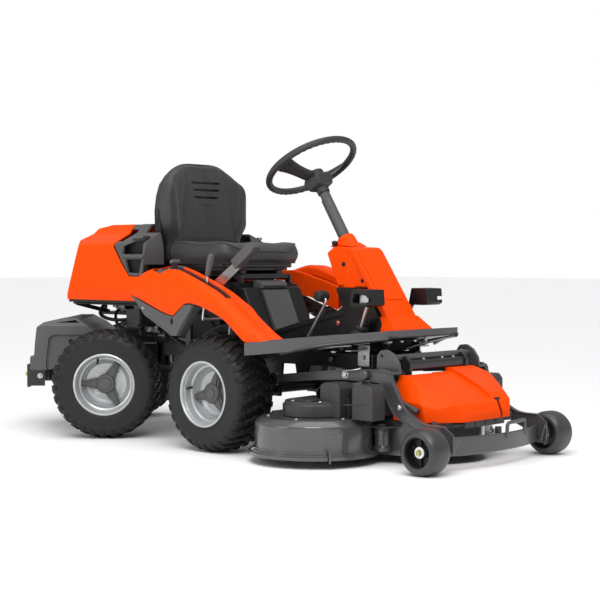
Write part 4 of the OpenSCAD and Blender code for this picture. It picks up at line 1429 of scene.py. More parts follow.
def make_throttle():
    """Throttle panel and lever, and the ignition key."""
    panel = move(prism(rounded(PANEL_OUTLINE, 6), -16, -1, "z"), PANEL_PLACE)
    slot = prism(rounded([(-396, 186), (-384, 186), (-384, 240), (-396, 240)], 5), 570, 660, "z")
    pocket = move(lathe([(0, -40), (15, -40), (15, 60), (0, 60)], 32, closed=False),
                  shifted(-366, 282, 602))
    combine(panel, [slot, pocket])
    bevel(panel, 1.2, 2)
    key_ring = move(lathe([(5, 0), (13, 0), (13, 4), (11, 6), (5, 6)], 40), shifted(-366, 282, 594))
    marks = [move(bevel(block((-20, y - 1.5, -2), (-12, y + 1.5, 0.8)), 0.5, 1), PANEL_PLACE)
             for y in (-44, -23, -2)]
    piece("throttle_panel_look", [panel, (key_ring, BLACK)] + in_material(marks, BLACK), "chassis", GREY,
          ["throttle_panel"])
    boot = lathe([(4, 44), (7, 42), (8, 36), (11, 34), (10, 28), (14, 25), (13, 19), (16, 15), (15.5, 7),
                  (17, 2), (4, 2)], 40)
    move(boot, shifted(-390, 212, 606))
    stem = rod((-390, 212, 576), (-390, 209, 640), 4)
    head = loft([
        [(x, 209 + a * math.cos(t), 648 + b * math.sin(t)) for t in (2 * math.pi * i / 28 for i in range(28))]
        for x, a, b in ((-411, 5, 4), (-409, 8, 7), (-402, 9.5, 8.5), (-392, 8.5, 8), (-382, 9, 8.5),
                        (-374, 10, 9), (-370, 8, 7), (-368, 5, 4))])
    neck = rod((-390, 210, 622), (-390, 209, 648), 6)
    piece("throttle_lever_look", [subdivide(head, 1), neck, (stem, BLACK), (boot, RUBBER)], "throttle", GREY,
          ["throttle_lever"])
    bow_outline = rounded([(-11, 603), (11, 603), (12, 618), (6, 624), (-6, 624), (-12, 618)], 4)
    bow = bevel(prism(bow_outline, -3, 3), 1.2)
    hole = prism(rounded([(-3, 614), (3, 614), (3, 620), (-3, 620)], 2), -5, 5)
    combine(bow, hole)
    shank = rod((0, 0, 580), (0, 0, 606), 3.6)
    piece("ignition_key_look", [(bow, BLACK), shank], "key", SILVER, ["ignition_key"],
          MACHINE @ shifted(-366, 282, 0))


def make_levers():
    """Height lever and lift lever."""
    # Height lever: thin bent rod with a moulded grip
    stick = tube([(-397, 60, 450), (-397, 57, 472), (-396, 46, 540), (-396, 34, 610)], 4, 16)
    cross = tube([(-262, 60, 450), (-380, 60, 450), (-393, 60, 452), (-397, 59, 462)], 5, 16)
    post = rod((-267, 60, 348), (-267, 60, 456), 6)
    sleeve = lathe([(6.3, -11), (12, -11), (12, 11), (6.3, 11)], 40)
    move(sleeve, shifted(-267, 60, 340) @ ALONG_X)
    grip_axis = Vector((2, -20, 78)).normalized()
    grip = lathe([(0, 0), (7, 0), (9.5, 3), (10.5, 14), (12, 30), (13, 50), (13, 62), (11.5, 72), (8, 78),
                  (4, 80), (0, 80.5)], 40, closed=False)
    for v in grip.data.vertices:
        v.co.y *= 0.78
    turn = Vector((0, 0, 1)).rotation_difference(grip_axis).to_matrix().to_4x4()
    move(grip, shifted(-396, 37, 598) @ turn)
    piece("height_lever_look", [stick, cross, post, sleeve, (grip, GREY)], "height_control", SILVER,
          ["height_lever"])

    # Lift lever: flat bar and a long square grip with a row of ribs near its end
    bar = prism(rounded([(240, 470), (216, 438), (58, 540), (-56, 624), (-36, 650), (82, 574)],
                        [12, 12, 10, 4, 4, 10], 4), -335, -325)
    boss = move(lathe([(8.3, -10), (21, -10), (22, -8), (22, 8), (21, 10), (8.3, 10)], 48),
                shifted(-328, 230, 455) @ ALONG_X)
    handle = prism(rounded([(-47, 624), (-126, 680), (-141, 699), (-121, 716), (-100, 706), (-27, 653)],
                           [3, 8, 8, 10, 14, 4], 4), -348, -312)
    bevel(handle, 6, 4)
    ribs = []
    direction = Vector((0, -92, 66)).normalized()
    for k in range(4):
        at = Vector((0, -117, 706.5)) + direction * (-6.5 * k)
        rib = bevel(block((-344, -1.7, -2.5), (-316, 1.7, 2.6)), 1.1, 2)
        tilt = math.atan2(direction.z, -direction.y)
        move(rib, Matrix.Translation(at) @ Matrix.Rotation(-tilt, 4, "X"))
        ribs.append((rib, BLACK))
    thumb = bevel(prism([(-70, 676), (-92, 692), (-88, 697), (-66, 681)], -338, -322), 1.5, 2)
    bevel(bar, 1.2, 2)
    piece("lift_lever_look", [(bar, SILVER), (boss, BLACK_STEEL), handle, (thumb, BLACK)] + ribs,
          "lift_control", GREY, ["lift_lever"])


def make_lock_button():
    """Parking lock button on the console."""
    x, y = -52, -240
    stem = rod((x, y, 682), (x, y, 709), 5.8)
    cap = move(lathe([(0, 0), (8, 0), (10, 2), (10.5, 8), (9, 12), (6, 13.5), (0, 14)], 40, closed=False),
               shifted(x, y, 707))
    piece("lock_button_look", [stem, cap], "parking_lock", BLACK, ["lock_button"])


# ---------- Hood and intake ----------

HOOD_SIDE = [(453, 498), (452, 594), (517, 594), (566, 640), (630, 702), (650, 791), (768, 791), (846, 777),
             (868, 728), (896, 676), (918, 606), (932, 512), (878, 498)]
HOOD_SECTION = [(-350, 498), (-350, 556), (-340, 640), (-322, 713), (-300, 727), (-234, 757), (-204, 790)]


def hood_prisms(inset):
    """Solid form of the hood, smaller by inset."""
    k = inset
    side = prism([(y + (-20 if (k and y < 600) else (-k if y > 700 else (-40 if k else 0))), z - k)
                  for y, z in HOOD_SIDE], -360, 360)
    half = [(x + k, z - k) for x, z in HOOD_SECTION]
    section = prism(half + [(-x, z) for x, z in reversed(half)], 300, 960, "y")
    plan = prism([(-350 + k, 300), (-350 + k, 874), (-303, 934 - k), (303, 934 - k), (350 - k, 874),
                  (350 - k, 300)], 480, 800, "z")
    combine(side, section, "INTERSECT")
    return combine(side, plan, "INTERSECT")


def make_hood():
    """Engine hood: a hollow panel with its hinge ears, handle, lips and latches."""
    outer = hood_prisms(0)
    # Side creases: the panel turns in towards the intake, and tucks in along its lower edge
    slice_both(outer, [(-349.5, 583, 682), (-350, 523, 537), (-340, 450, 560)])
    slice_both(outer, [(-350, 500, 540), (-350, 800, 540), (-344, 600, 497)])
    # Rear corners: a slanted facet that widens towards the top
    slice_both(outer, [(-350, 884, 498), (-303, 936, 498), (-326, 838, 700)])
    bevel(dissolve(outer, 0.6), 7, 4, 12)
    inner = hood_prisms(5)
    combine(outer, inner)
    bottom = block((-400, 300, 470), (400, 927, 503))
    combine(outer, bottom)
    groove = []
    for s in (-1, 1):
        groove.append(tube([(s * 206, 868, 776), (s * 206, 780, 792),
                            (s * 206, 668, 792), (s * 222, 640, 772)],
                           2.6, 10))
    combine(outer, groove)
    ears = []
    for s in (-1, 1):
        ear = prism_on(s, rounded([(903, 482), (903, 530), (925, 530), (925, 482)], 8), 143, 151)
        ears.append(bevel(ear, 1.2, 2))
        ears.append((rod((s * 126, 913, 488), (s * 156, 913, 488), 5), SILVER))
    # Dark handle recess at the rear of the raised middle
    handle = bevel(prism(rounded([(852, 741), (880, 738), (898, 712), (874, 724), (852, 768)], 5), -150, 150),
                   3, 3)
    lip = []
    for s in (-1, 1):
        lip.append(bevel(prism_on(s, [(470, 494), (872, 494), (872, 506), (470, 506)], 336, 344),
                         2, 2))
    lip.append(bevel(prism([(-296, 494), (296, 494), (296, 508), (-296, 508)], 916, 925, "y"), 2, 2))
    latch = []
    for s in (-1, 1):
        latch += bolt((s * 342, 478, 524), (s, 0, 0), 6, 3)
    piece("engine_hood_look", [outer] + ears + [(handle, DARK_GREY)] + in_material(lip, BLACK)
          + in_material(latch, BLACK), "hood", ORANGE, ["engine_hood"], sharp=30)


INTAKE_SIDE = [(449, 597), (516, 597), (624, 705), (641, 789), (548, 789), (500, 778), (462, 752), (448, 700),
               (446, 640)]
WINDOW_LOW = [(548, 657), (526, 608), (462, 606), (456, 657)]
WINDOW_HIGH = [(572, 676), (574, 704), (530, 722), (466, 734), (458, 676)]


def inside(point, outline):
    """Whether a point lies within an outline."""
    x, y = point
    hit = False
    for (xa, ya), (xb, yb) in zip(outline, outline[1:] + outline[:1]):
        if (ya > y) != (yb > y) and x < (xb - xa) * (y - ya) / (yb - ya) + xa:
            hit = not hit
    return hit


def perforated(outline, x, pitch=9.0, thick=1.6):
    """A sheet across the window with staggered round holes, made cell by cell."""
    ys, zs = [p[0] for p in outline], [p[1] for p in outline]
    verts, faces = [], []
    count = 8
    row, z = 0, min(zs)
    while z < max(zs):
        y = min(ys) + (pitch / 2 if row % 2 else 0)
        while y < max(ys):
            if inside((y, z), outline):
                base = len(verts)
                corner = [(pitch / 2, 0), (pitch / 2, pitch / 2), (0, pitch / 2), (-pitch / 2, pitch / 2),
                          (-pitch / 2, 0), (-pitch / 2, -pitch / 2), (0, -pitch / 2), (pitch / 2, -pitch / 2)]
                for side in (0, thick):
                    for k in range(count):
                        verts.append((x + side, y + corner[k][0], z + corner[k][1]))
                    for k in range(count):
                        a = 2 * math.pi * k / count
                        verts.append((x + side, y + 2.7 * math.cos(a), z + 2.7 * math.sin(a)))
                for k in range(count):
                    m = (k + 1) % count
                    faces.append((base + k, base + m, base + 8 + m, base + 8 + k))
                    faces.append((base + 16 + m, base + 16 + k, base + 24 + k, base + 24 + m))
                    faces.append((base + 8 + k, base + 8 + m, base + 24 + m, base + 24 + k))
                    faces.append((base + m, base + k, base + 16 + k, base + 16 + m))
            y += pitch
        row += 1
        z += pitch
    mesh = bpy.data.meshes.new("sheet")
    mesh.from_pydata(verts, [], faces)
    obj = bpy.data.objects.new("sheet", mesh)
    bpy.context.scene.collection.objects.link(obj)
    return weld(obj, 0.05)


def make_intake():
    """Grey intake between the hood and the seat, with mesh windows."""
    def form(inset, pull):
        side = prism([(y, z - inset) for y, z in INTAKE_SIDE], -346, 346)
        half = [(x * pull, z - inset) for x, z in HOOD_SECTION]
        section = prism(half + [(-x, z) for x, z in reversed(half)], 330, 670, "y")
        return combine(side, section, "INTERSECT")

    body = form(0, 0.985)
    combine(body, form(7, 0.962))
    combine(body, block((-232, 340, 585), (232, 548, 810)))
    for w in (WINDOW_LOW, WINDOW_HIGH):
        combine(body, prism(rounded(w, 5, 3), -360, 360))
    combine(body, block((-300, 600, 580), (300, 650, 770)))
    bevel(dissolve(body, 0.5), 3.2, 3, 20)
    parts = [body]
    for s in (-1, 1):
        for w in (WINDOW_LOW, WINDOW_HIGH):
            low_edge = min(z for _, z in w) + 20
            big = [(y + (9 if y > 470 else -3), z + (-9 if z < low_edge else 9)) for y, z in w]
            depth = 318 if w is WINDOW_LOW else 296
            sheet = perforated(big, depth)
            if s < 0:
                move(sheet, Matrix.Diagonal((-1, 1, 1, 1)))
                sheet.data.flip_normals()
            parts.append((sheet, BLACK))
            back = prism(big, *sorted((s * (depth - 12), s * (depth - 15))))
            parts.append((bevel(back, 0.8, 1), MESH_RED))
        bar = bevel(prism_on(s, [(447, 661), (447, 674), (560, 676), (556, 663)], 326, 337), 3, 3)
        parts.append(bar)
        louvre = bevel(prism_on(s, [(447, 655), (447, 659), (548, 659), (546, 655)], 320, 330),
                       1.2, 2)
        parts.append((louvre, BLACK))
    # Ribs across the roof behind the seat
    for k in range(6):
        parts.append(bevel(block((-180, 556 + 13 * k, 786), (180, 562 + 13 * k, 791)), 1.2, 2))
    firewall = bevel(block((-300, 590, 470), (300, 596, 700)), 2)
    parts.append((firewall, BLACK))
    piece("intake_grille_look", parts, "chassis", GREY, ["intake_grille"], sharp=30)


# ---------- Cutting deck ----------

SPINDLES = [(-330, -400), (0, -600), (330, -400)]
DOME_R, LIP_R, DECK_LOW, DECK_TOP = 195, 216, 28, 150


def dome(inset=0.0, low=DECK_LOW, top=DECK_TOP):
    """A round blade housing: upright wall, bevelled top edge with a soft roll, and a flat crown."""
    r, t = DOME_R - inset, top - inset
    return lathe([(0, low), (r, low), (r, t - 24), (r - 1.5, t - 19), (r - 5, t - 14), (r - 20, t - 3),
                  (r - 25, t - 0.6), (r - 30, t), (0, t)], 128, closed=False)


def deck_bridge(inset, low, top):
    """Flat-topped form that joins the three domes."""
    r = DOME_R - inset
    a, b, c = SPINDLES
    return prism([a, b, c, (c[0], c[1] + r), (a[0], a[1] + r)], low, top - inset, "z")


def placed(obj, spot):
    """Moves a part to a spindle or another (x, y) place."""
    return move(obj, shifted(spot[0], spot[1], 0))


def deck_form(inset, low):
    """The three domes and what joins them, as one solid."""
    body = placed(dome(inset, low), SPINDLES[0])
    combine(body, [placed(dome(inset, low), s) for s in SPINDLES[1:]] + [deck_bridge(inset, low, DECK_TOP)],
            "UNION")
    return body


def lip_form(radius, low, top):
    """A layer that follows the deck's outline."""
    def disc(r):
        return lathe([(0, low), (r, low), (r, top), (0, top)], 128, closed=False)

    body = placed(disc(radius), SPINDLES[0])
    a, b, c = SPINDLES
    bridge = prism([a, b, c, (c[0], c[1] + radius), (a[0], a[1] + radius)], low, top, "z")
    return combine(body, [placed(disc(radius), s) for s in SPINDLES[1:]] + [bridge], "UNION")


def make_deck():
    """Deck shell with its lip, pressed recesses and bosses."""
    body = deck_form(0, DECK_LOW + 8)
    combine(body, deck_form(3.5, DECK_LOW - 4))
    # Flat recesses pressed into the outer walls
    presses = []
    for s, angle in ((0, 196), (2, -16), (0, 240), (2, -60)):
        cx, cy = SPINDLES[s]
        a = math.radians(angle)
        out = Vector((math.cos(a), math.sin(a), 0))
        side = Vector((-out.y, out.x, 0))
        at = Vector((cx, cy, 88)) + out * (DOME_R + 3.0)
        m = Matrix((( side.x, 0, out.x, at.x), (side.y, 0, out.y, at.y), (0, 1, 0, at.z), (0, 0, 0, 1)))
        presses.append(move(prism(rounded([(-34, -26), (34, -26), (34, 22), (-34, 22)], 4), -5, 6, "z"), m))
    combine(body, presses)
    lip = lip_form(LIP_R, DECK_LOW, DECK_LOW + 11)
    combine(lip, lip_form(DOME_R - 3, DECK_LOW - 2, DECK_LOW + 14))
    bevel(lip, 3.2, 3)
    slant = lip_form(LIP_R - 8, DECK_LOW + 10, DECK_LOW + 17)
    combine(slant, lip_form(DOME_R - 2, DECK_LOW + 8, DECK_LOW + 20))
    bevel(slant, 2.4, 3)
    ridge = lip_form(DOME_R + 4, DECK_LOW + 16, DECK_LOW + 24)
    combine(ridge, lip_form(DOME_R - 2, DECK_LOW + 12, DECK_LOW + 26))
    bevel(ridge, 2, 3)
    notches = []
    for s, angle in ((0, 235), (2, -55)):
        cx, cy = SPINDLES[s]
        a = math.radians(angle)
        at = (cx + (DOME_R + 19) * math.cos(a), cy + (DOME_R + 19) * math.sin(a))
        notches.append(move(block((-12, -3, 20), (12, 3, 60)),
                            shifted(*at, 0) @ Matrix.Rotation(a, 4, "Z")))
    for part in (lip, slant):
        for n in notches:
            copy = n.copy()
            copy.data = n.data.copy()
            bpy.context.scene.collection.objects.link(copy)
            combine(part, copy)
    for n in notches:
        bpy.data.objects.remove(n)
    bosses, trims = [], []
    for s in (-1, 1):
        # Upright boss between two domes, with a waist and a round cap
        boss = lathe([(0, 40), (29, 40), (30, 52), (25, 60), (24, 92), (27, 98),
                      (27, 112), (24, 118), (17, 121), (16, 128), (0, 128)], 64, closed=False)
        bosses.append(placed(boss, (s * 222, -596)))
        plate = prism(rounded([(s * 160, -560), (s * 262, -560), (s * 262, -640),
                               (s * 160, -655)], 12), 118, 123,
                      "z")
        bosses.append(bevel(plate, 1.5, 2))
    for spot in SPINDLES:
        bosses.append(placed(lathe([(12.9, 100), (28, 100), (28, 152), (26, 156), (12.9, 156)], 64), spot))
        for k in range(6):
            a = math.radians(60 * k + 20)
            trims += bolt((spot[0] + 150 * math.cos(a), spot[1] + 150 * math.sin(a), 149.5), (0, 0, 1), 5, 3)
    # Baffle ribs along the rear wall
    for x in range(-240, 241, 80):
        bosses.append(bevel(block((x - 4, -214, 44), (x + 4, -205, 138)), 2, 2))
    pin = []
    for s in (-1, 1):
        pin += bolt((s * 500, -290, 45), (0, 0, 1), 6, 5)
    piece("deck_shell_look", [body, lip, slant, ridge] + bosses + [(t, SILVER) for t in trims + pin], "deck",
          DECK_PAINT, ["deck_shell"], sharp=30)


def cover_outline(r, squeeze=1.0):
    """Outline round the three pulleys, drawn in between them."""
    pts = []
    for (cx, cy), a0, a1 in ((SPINDLES[2], -40, 90), (SPINDLES[0], 90, 220), (SPINDLES[1], 218, 322)):
        n = 14
        for k in range(n + 1):
            a = math.radians(a0 + (a1 - a0) * k / n)
            pts.append((cx + r * math.cos(a), cy + r * squeeze * math.sin(a)))
    return pts


def make_belt_cover():
    """Low belt box on the deck, and the four shields beside the arms."""
    base = prism(cover_outline(104), 150.5, 190, "z")
    top = prism(cover_outline(97), 186, 200, "z")
    combine(base, top, "UNION")
    combine(base, prism(cover_outline(94), 148, 194, "z"))
    bevel(dissolve(base, 0.3), 4, 3, 40)
    parts = [base]
    shields = []
    for y in (-528, -664):
        def side(inset, base_z):
            return rounded([(y + inset, base_z), (y + inset, 244 - inset), (y + 14, 262 - inset),
                            (y + 64, 262 - inset), (y + 104, 240 - inset), (y + 124 - inset, 214),
                            (y + 124 - inset, base_z)], [0, 14, 14, 30, 20, 4, 0], 4)
        for s in (-1, 1):
            x0, x1 = sorted((s * 288, s * 352))
            outer = prism(side(0, 150), x0, x1)
            combine(outer, prism(side(5, 148), x0 + 5, x1 - 5))
            slice_off(outer, (s * 352, y + 80, 200), (s * 0.87, 0.5, 0))
            shields.append(bevel(dissolve(outer, 0.3), 3.5, 3, 35))
            rib = prism_on(s, [(y + 4, 206), (y + 118, 196), (y + 118, 192), (y + 4, 202)], 349, 353.4)
            shields.append(bevel(rib, 1, 2))
    screws = []
    for x, y in ((-410, -380), (-380, -470), (410, -380), (380, -470), (-250, -330), (250, -330)):
        screws += bolt((x, y, 199.6), (0, 0, 1), 5, 3)
    raised = []
    for s in (-1, 1):
        outline = rounded([(s * 250, -330), (s * 400, -346), (s * 410, -452), (s * 262, -440)], 18)
        raised.append(bevel(prism(outline, 198, 206, "z"), 3, 3))
    piece("belt_cover_look", parts + shields + raised + in_material(screws, SILVER), "deck", DARK_GREY,
          ["belt_cover"], sharp=30)


BELT_GUARD_CORNER = [(-226, -752, 206), (-150, -826, 206), (-186, -728, 278)]


def belt_guard_hull(drop, inset, rear, low, right, left):
    """Solid form of the belt guard between two upright planes, its top lowered by drop."""
    i, d = inset, drop
    side = prism([(rear, 298 - d - i), (-668, 298 - d - i), (-708, 282 - d - i), (-786 + i, 244 - d - i),
                  (-816 + i, 224 - d - i), (-838 + i, 196 - i), (-850 + i, 165),
                  (-852 + i, low), (rear, low)],
                 right, left)
    front = prism([(-219 + i, low), (-226 + i, 204), (-206 + i, 258), (-178 + i, 298 - i), (178 - i, 298 - i),
                   (206 - i, 258), (226 - i, 204), (219 - i, low)], -900, -560, "y")
    combine(side, front, "INTERSECT")
    plan = prism([(-236 + i, rear), (-236 + i, -746), (-196 + i, -800), (-112, -860 + i), (112, -860 + i),
                  (196 - i, -800), (236 - i, -746), (236 - i, rear)], low - 10, 320, "z")
    combine(side, plan, "INTERSECT")
    a, b, c = (Vector(p) for p in BELT_GUARD_CORNER)
    n = (b - a).cross(c - a).normalized()
    slice_off(side, a - n * i, n)
    mirror_n = Vector((-n.x, n.y, n.z))
    return slice_off(side, Vector((-a.x, a.y, a.z)) - mirror_n * i, mirror_n)


def make_belt_guard():
    """Orange guard at the front of the deck, hollow, with a slot."""
    # The right two thirds lie lower; the crest on the left keeps the full height
    body = belt_guard_hull(13, 0, -641, 143, -240, 52)
    combine(body, belt_guard_hull(0, 0, -641, 143, 50, 240), "UNION")
    # Shoulder cut down in front of the cross tube, and a flat pan in the lower top
    combine(body, prism([(-640, 310), (-640, 276), (-652, 276), (-662, 290), (-662, 310)], -170, -20))
    bevel(dissolve(body, 0.5), 8, 4, 14)
    combine(body, prism([(76, 100), (90, 100), (84, 206), (70, 206)], -900, -790, "y"), folded=True)
    hollow = belt_guard_hull(13, 5, -600, 130, -240, 57)
    combine(hollow, belt_guard_hull(0, 5, -600, 130, 55, 240), "UNION")
    combine(hollow, prism([(-600, 310), (-600, 271), (-654, 271), (-666, 285), (-666, 310)], -175, -15))
    combine(body, hollow, folded=True)
    pads = []
    for x, y, z, wide, deep in ((-128, -742, 238, 60, 40), (-30, -790, 206, 80, 22)):
        pad = bevel(block((x - wide / 2, y - deep / 2, z - 4), (x + wide / 2, y + deep / 2, z + 4)), 3, 3)
        slope = shifted(x, y, z) @ turned(30, "X")
        pads.append(move(pad, slope @ shifted(-x, -y, -z)))
    skirt = []
    for x in range(-190, 191, 54):
        front = -844 if abs(x) < 130 else -798
        skirt.append(bevel(block((x - 25, front, 122), (x + 25, front + 5, 150)), 1.5, 2))
    behind = bevel(block((64, -834, 132), (94, -828, 208)), 1.5)
    screws = []
    for x in (-186, 186):
        screws += bolt((x, -690, 270), (0, 0, 1), 5, 3)
    piece("belt_guard_look", [body] + pads + in_material(skirt, GREY) + [(behind, BLACK)]
          + in_material(screws, SILVER), "deck", ORANGE, ["belt_guard"], sharp=30)


ARM_TOP = [(-132, 262), (-400, 292), (-519, 298), (-645, 302), (-668, 268),
           (-698, 218), (-724, 184), (-792, 146), (-875, 141), (-908, 119)]
ARM_LOW = [(-908, 58), (-876, 75), (-778, 113), (-710, 149), (-668, 179),
           (-626, 253), (-606, 265), (-519, 269), (-395, 261), (-132, 236)]


def make_carrier():
    """Equipment frame: arms, cross tubes, end plates, wheel brackets, front bar and hand loop."""
    parts, silver, black = [], [], []
    top_radii = [4, 20, 30, 34, 30, 30, 30, 40, 16, 6]
    low_radii = [4, 10, 20, 40, 40, 24, 20, 20, 20, 4]
    outline = rounded(ARM_TOP + ARM_LOW, top_radii + low_radii, 4)
    for s in (-1, 1):
        a, b = sorted((s * 252, s * 258))
        plate = prism(outline, a, b)
        hole = move(lathe([(0, -20), (10.06, -20), (10.06, 20), (0, 20)], 48, closed=False),
                    shifted(s * 255, -150, 250) @ ALONG_X)
        combine(plate, hole)
        parts.append(bevel(plate, 1.2, 2))
        for edge in (ARM_TOP[1:9], list(reversed(ARM_LOW[1:9]))):
            path = [(s * 255, y, z) for y, z in edge]
            flange = sweep(curve_points(path, 4), [(-9, -2), (9, -2), (9, 2), (-9, 2)])
            parts.append(bevel(flange, 1.2, 2))
        boss = move(lathe([(10.1, -8), (21, -8), (22, -7), (22, 7), (21, 8), (10.1, 8)], 48),
                    shifted(s * 256, -150, 250) @ ALONG_X)
        parts.append(boss)
        # Quarter-round end plate with its hole, and the tube's seat
        quarter = prism_on(s, rounded([(-568, 292), (-569, 344), (-584, 364),
                                       (-612, 367), (-640, 352), (-660, 326),
                                 (-667, 292)], [3, 14, 14, 20, 26, 20, 3], 5), 207, 217)
        hole = move(lathe([(0, -20), (5, -20), (5, 20), (0, 20)], 32, closed=False),
                    shifted(s * 212, -590, 345) @ ALONG_X)
        combine(quarter, hole)
        parts.append(bevel(quarter, 1.6, 3))
        parts.append(bevel(block_on(s, (207, -666, 291), (254, -568, 298)), 2, 2))
        # Clip and boss on the arm
        silver += bolt((s * 258, -470, 282), (s, 0, 0), 9, 6)
        silver.append(tube([(s * 266, -440, 300), (s * 270, -480, 296),
                            (s * 268, -520, 300), (s * 262, -540, 306)],
                           3, 10))
        parts.append(move(lathe([(0, 0), (14, 0), (16, 3), (16, 16), (13, 20), (0, 20)], 40, closed=False),
                          shifted(s * 256, -560, 284) @ Matrix.Rotation(s * math.pi / 2, 4, "Y")))
        parts.append(bevel(block_on(s, (256, -586, 264), (270, -456, 270)), 2, 2))
        silver += bolt((s * 258, -694, 190), (s, 0, 0), 8, 6)
        # Black sleeve and rod with its cap, beside the arm
        black.append(rod((s * 246, -640, 232), (s * 243, -742, 186), 7))
        black.append(rod((s * 243, -738, 188), (s * 242, -760, 178), 10))
        silver.append(rod((s * 246, -628, 238), (s * 246, -646, 230), 9))
        # Wheel bracket: a bent strip, open to the front, and the wheel's pin
        strip = [(262, -838, 120), (286, -842, 118), (292, -852, 112), (292, -884, 100), (290, -892, 72),
                 (280, -896, 58), (262, -898, 54)]
        parts.append(bevel(sweep([(s * x, y, z) for x, y, z in curve_points(strip, 3)],
                                 [(-3, -14), (3, -14), (3, 14), (-3, 14)], up=(0, 1, 0)), 1.2, 2))
        parts.append(bevel(block_on(s, (262, -890, 46), (288, -838, 100)), 3, 3))
        parts.append(rod((s * 284, -864, 73), (s * 369, -864, 73), 8))
        parts.append(bevel(block_on(s, (284, -880, 57), (296, -848, 89)), 3, 2))
        silver += bolt((s * 258, -846, 90), (s, 0, 0), 6, 4)
        # Corner link between the arm and the front bar
        corner = curve_points([(s * 258, -868, 92), (s * 256, -890, 90),
                               (s * 246, -902, 84), (s * 232, -906, 80)], 4)
        parts.append(bevel(sweep(corner, [(-3, -24), (3, -24), (3, 24), (-3, 24)]), 1, 2))
    arc = []
    for k in range(41):
        a = math.radians(-24.6 + 49.2 * k / 40)
        arc.append((622 * math.sin(a), -300 - 622 * math.cos(a), 80))
    bar = sweep(arc, [(-4, -25), (-2, -28), (2, -28), (4, -25), (4, 25), (2, 28), (-2, 28), (-4, 25)])
    parts.append(bevel(bar, 1, 2))
    parts.append(rod((-208, -617, 338), (208, -617, 338), 12, 40))
    channel = [(-574, 300), (-574, 322), (-582, 330), (-646, 330), (-652, 322), (-652, 300)]
    lower = bevel(prism(channel, -150, 150), 4, 3)
    black.append(lower)
    for x in (-150, 150):
        black.append(bevel(prism(rounded([(-566, 292), (-566, 330), (-590, 346), (-640, 344), (-658, 326),
                                          (-660, 292)], 10), x - 8, x + 8), 2, 2))
        black.append(bevel(block((min(x, x * 1.4), -640, 292), (max(x, x * 1.4), -580, 300)), 2, 2))
    black.append(move(lathe([(5, 0), (12, 0), (14, 3), (14, 10), (11, 14), (5, 14)], 32),
                      shifted(60, -612, 328)))
    for x in (-60, 40, 100):
        silver += bolt((x, -636, 329.5), (0, 0, 1), 5, 4)
    # Hand loop of bent wire
    loop = [(0, -927, 92), (0, -928, 122), (2, -929, 134), (12, -928, 138), (60, -924, 138), (108, -916, 138),
            (116, -914, 134), (118, -913, 122), (118, -913, 92)]
    parts.append(tube(loop, 6, 14, steps=5))
    for x, y in ((0, -925), (118, -912)):
        parts.append(bevel(block((x - 9, y - 2, 84), (x + 9, y + 5, 100)), 1.5, 2))
    piece("equipment_frame_look", parts + in_material(silver, SILVER) + in_material(black, BLACK_STEEL),
          "carrier", GREY_STEEL, ["equipment_frame"], sharp=34)


def make_blades():
    """Three blades, each with its shaft, nut and pulley."""
    for spot, name in zip(SPINDLES, ("right", "middle", "left")):
        a = math.radians(30)
        half, reach = 28, 185
        outline = rounded([(-reach, -half + 8), (-reach + 30, -half), (reach - 60, -half), (reach, half - 16),
                           (reach, half - 4), (reach - 30, half),
                           (-reach + 60, half), (-reach, -half + 16)], 3)
        plate = prism(outline, 60, 65, "z")
        combine(plate, lathe([(0, 50), (12.5, 50), (12.5, 80), (0, 80)], 40, closed=False))
        bevel(plate, 1, 2)
        wings = []
        for turn in (0, math.pi):
            wing = loft([[(100, 14, 64), (178, 14, 64), (178, 27, 66), (100, 27, 66)],
                         [(104, 14, 67), (176, 14, 67), (172, 30, 84), (112, 30, 80)]])
            wings.append(move(bevel(wing, 0.8, 2), Matrix.Rotation(turn, 4, "Z")))
        for p in [plate] + wings:
            move(p, Matrix.Rotation(a, 4, "Z"))
        shaft = lathe([(0, 50), (10, 50), (12.4, 53), (12.4, 188), (10, 190), (0, 190)], 48, closed=False)
        nut = bolt((0, 0, 60), (0, 0, -1), 15, 9)
        pulley = lathe([(12.6, 158), (57, 158), (57, 160.5), (50, 164), (50, 176), (57, 179.5), (57, 182),
                        (30, 182), (28, 178), (12.6, 178)], 72)
        made = [plate, shaft, pulley] + wings + nut
        for p in made:
            placed(p, spot)
        piece("blade_" + name + "_look", made, "spindle_" + name, SILVER, ["blade_" + name])


# ---------- Engine bay and chassis ----------


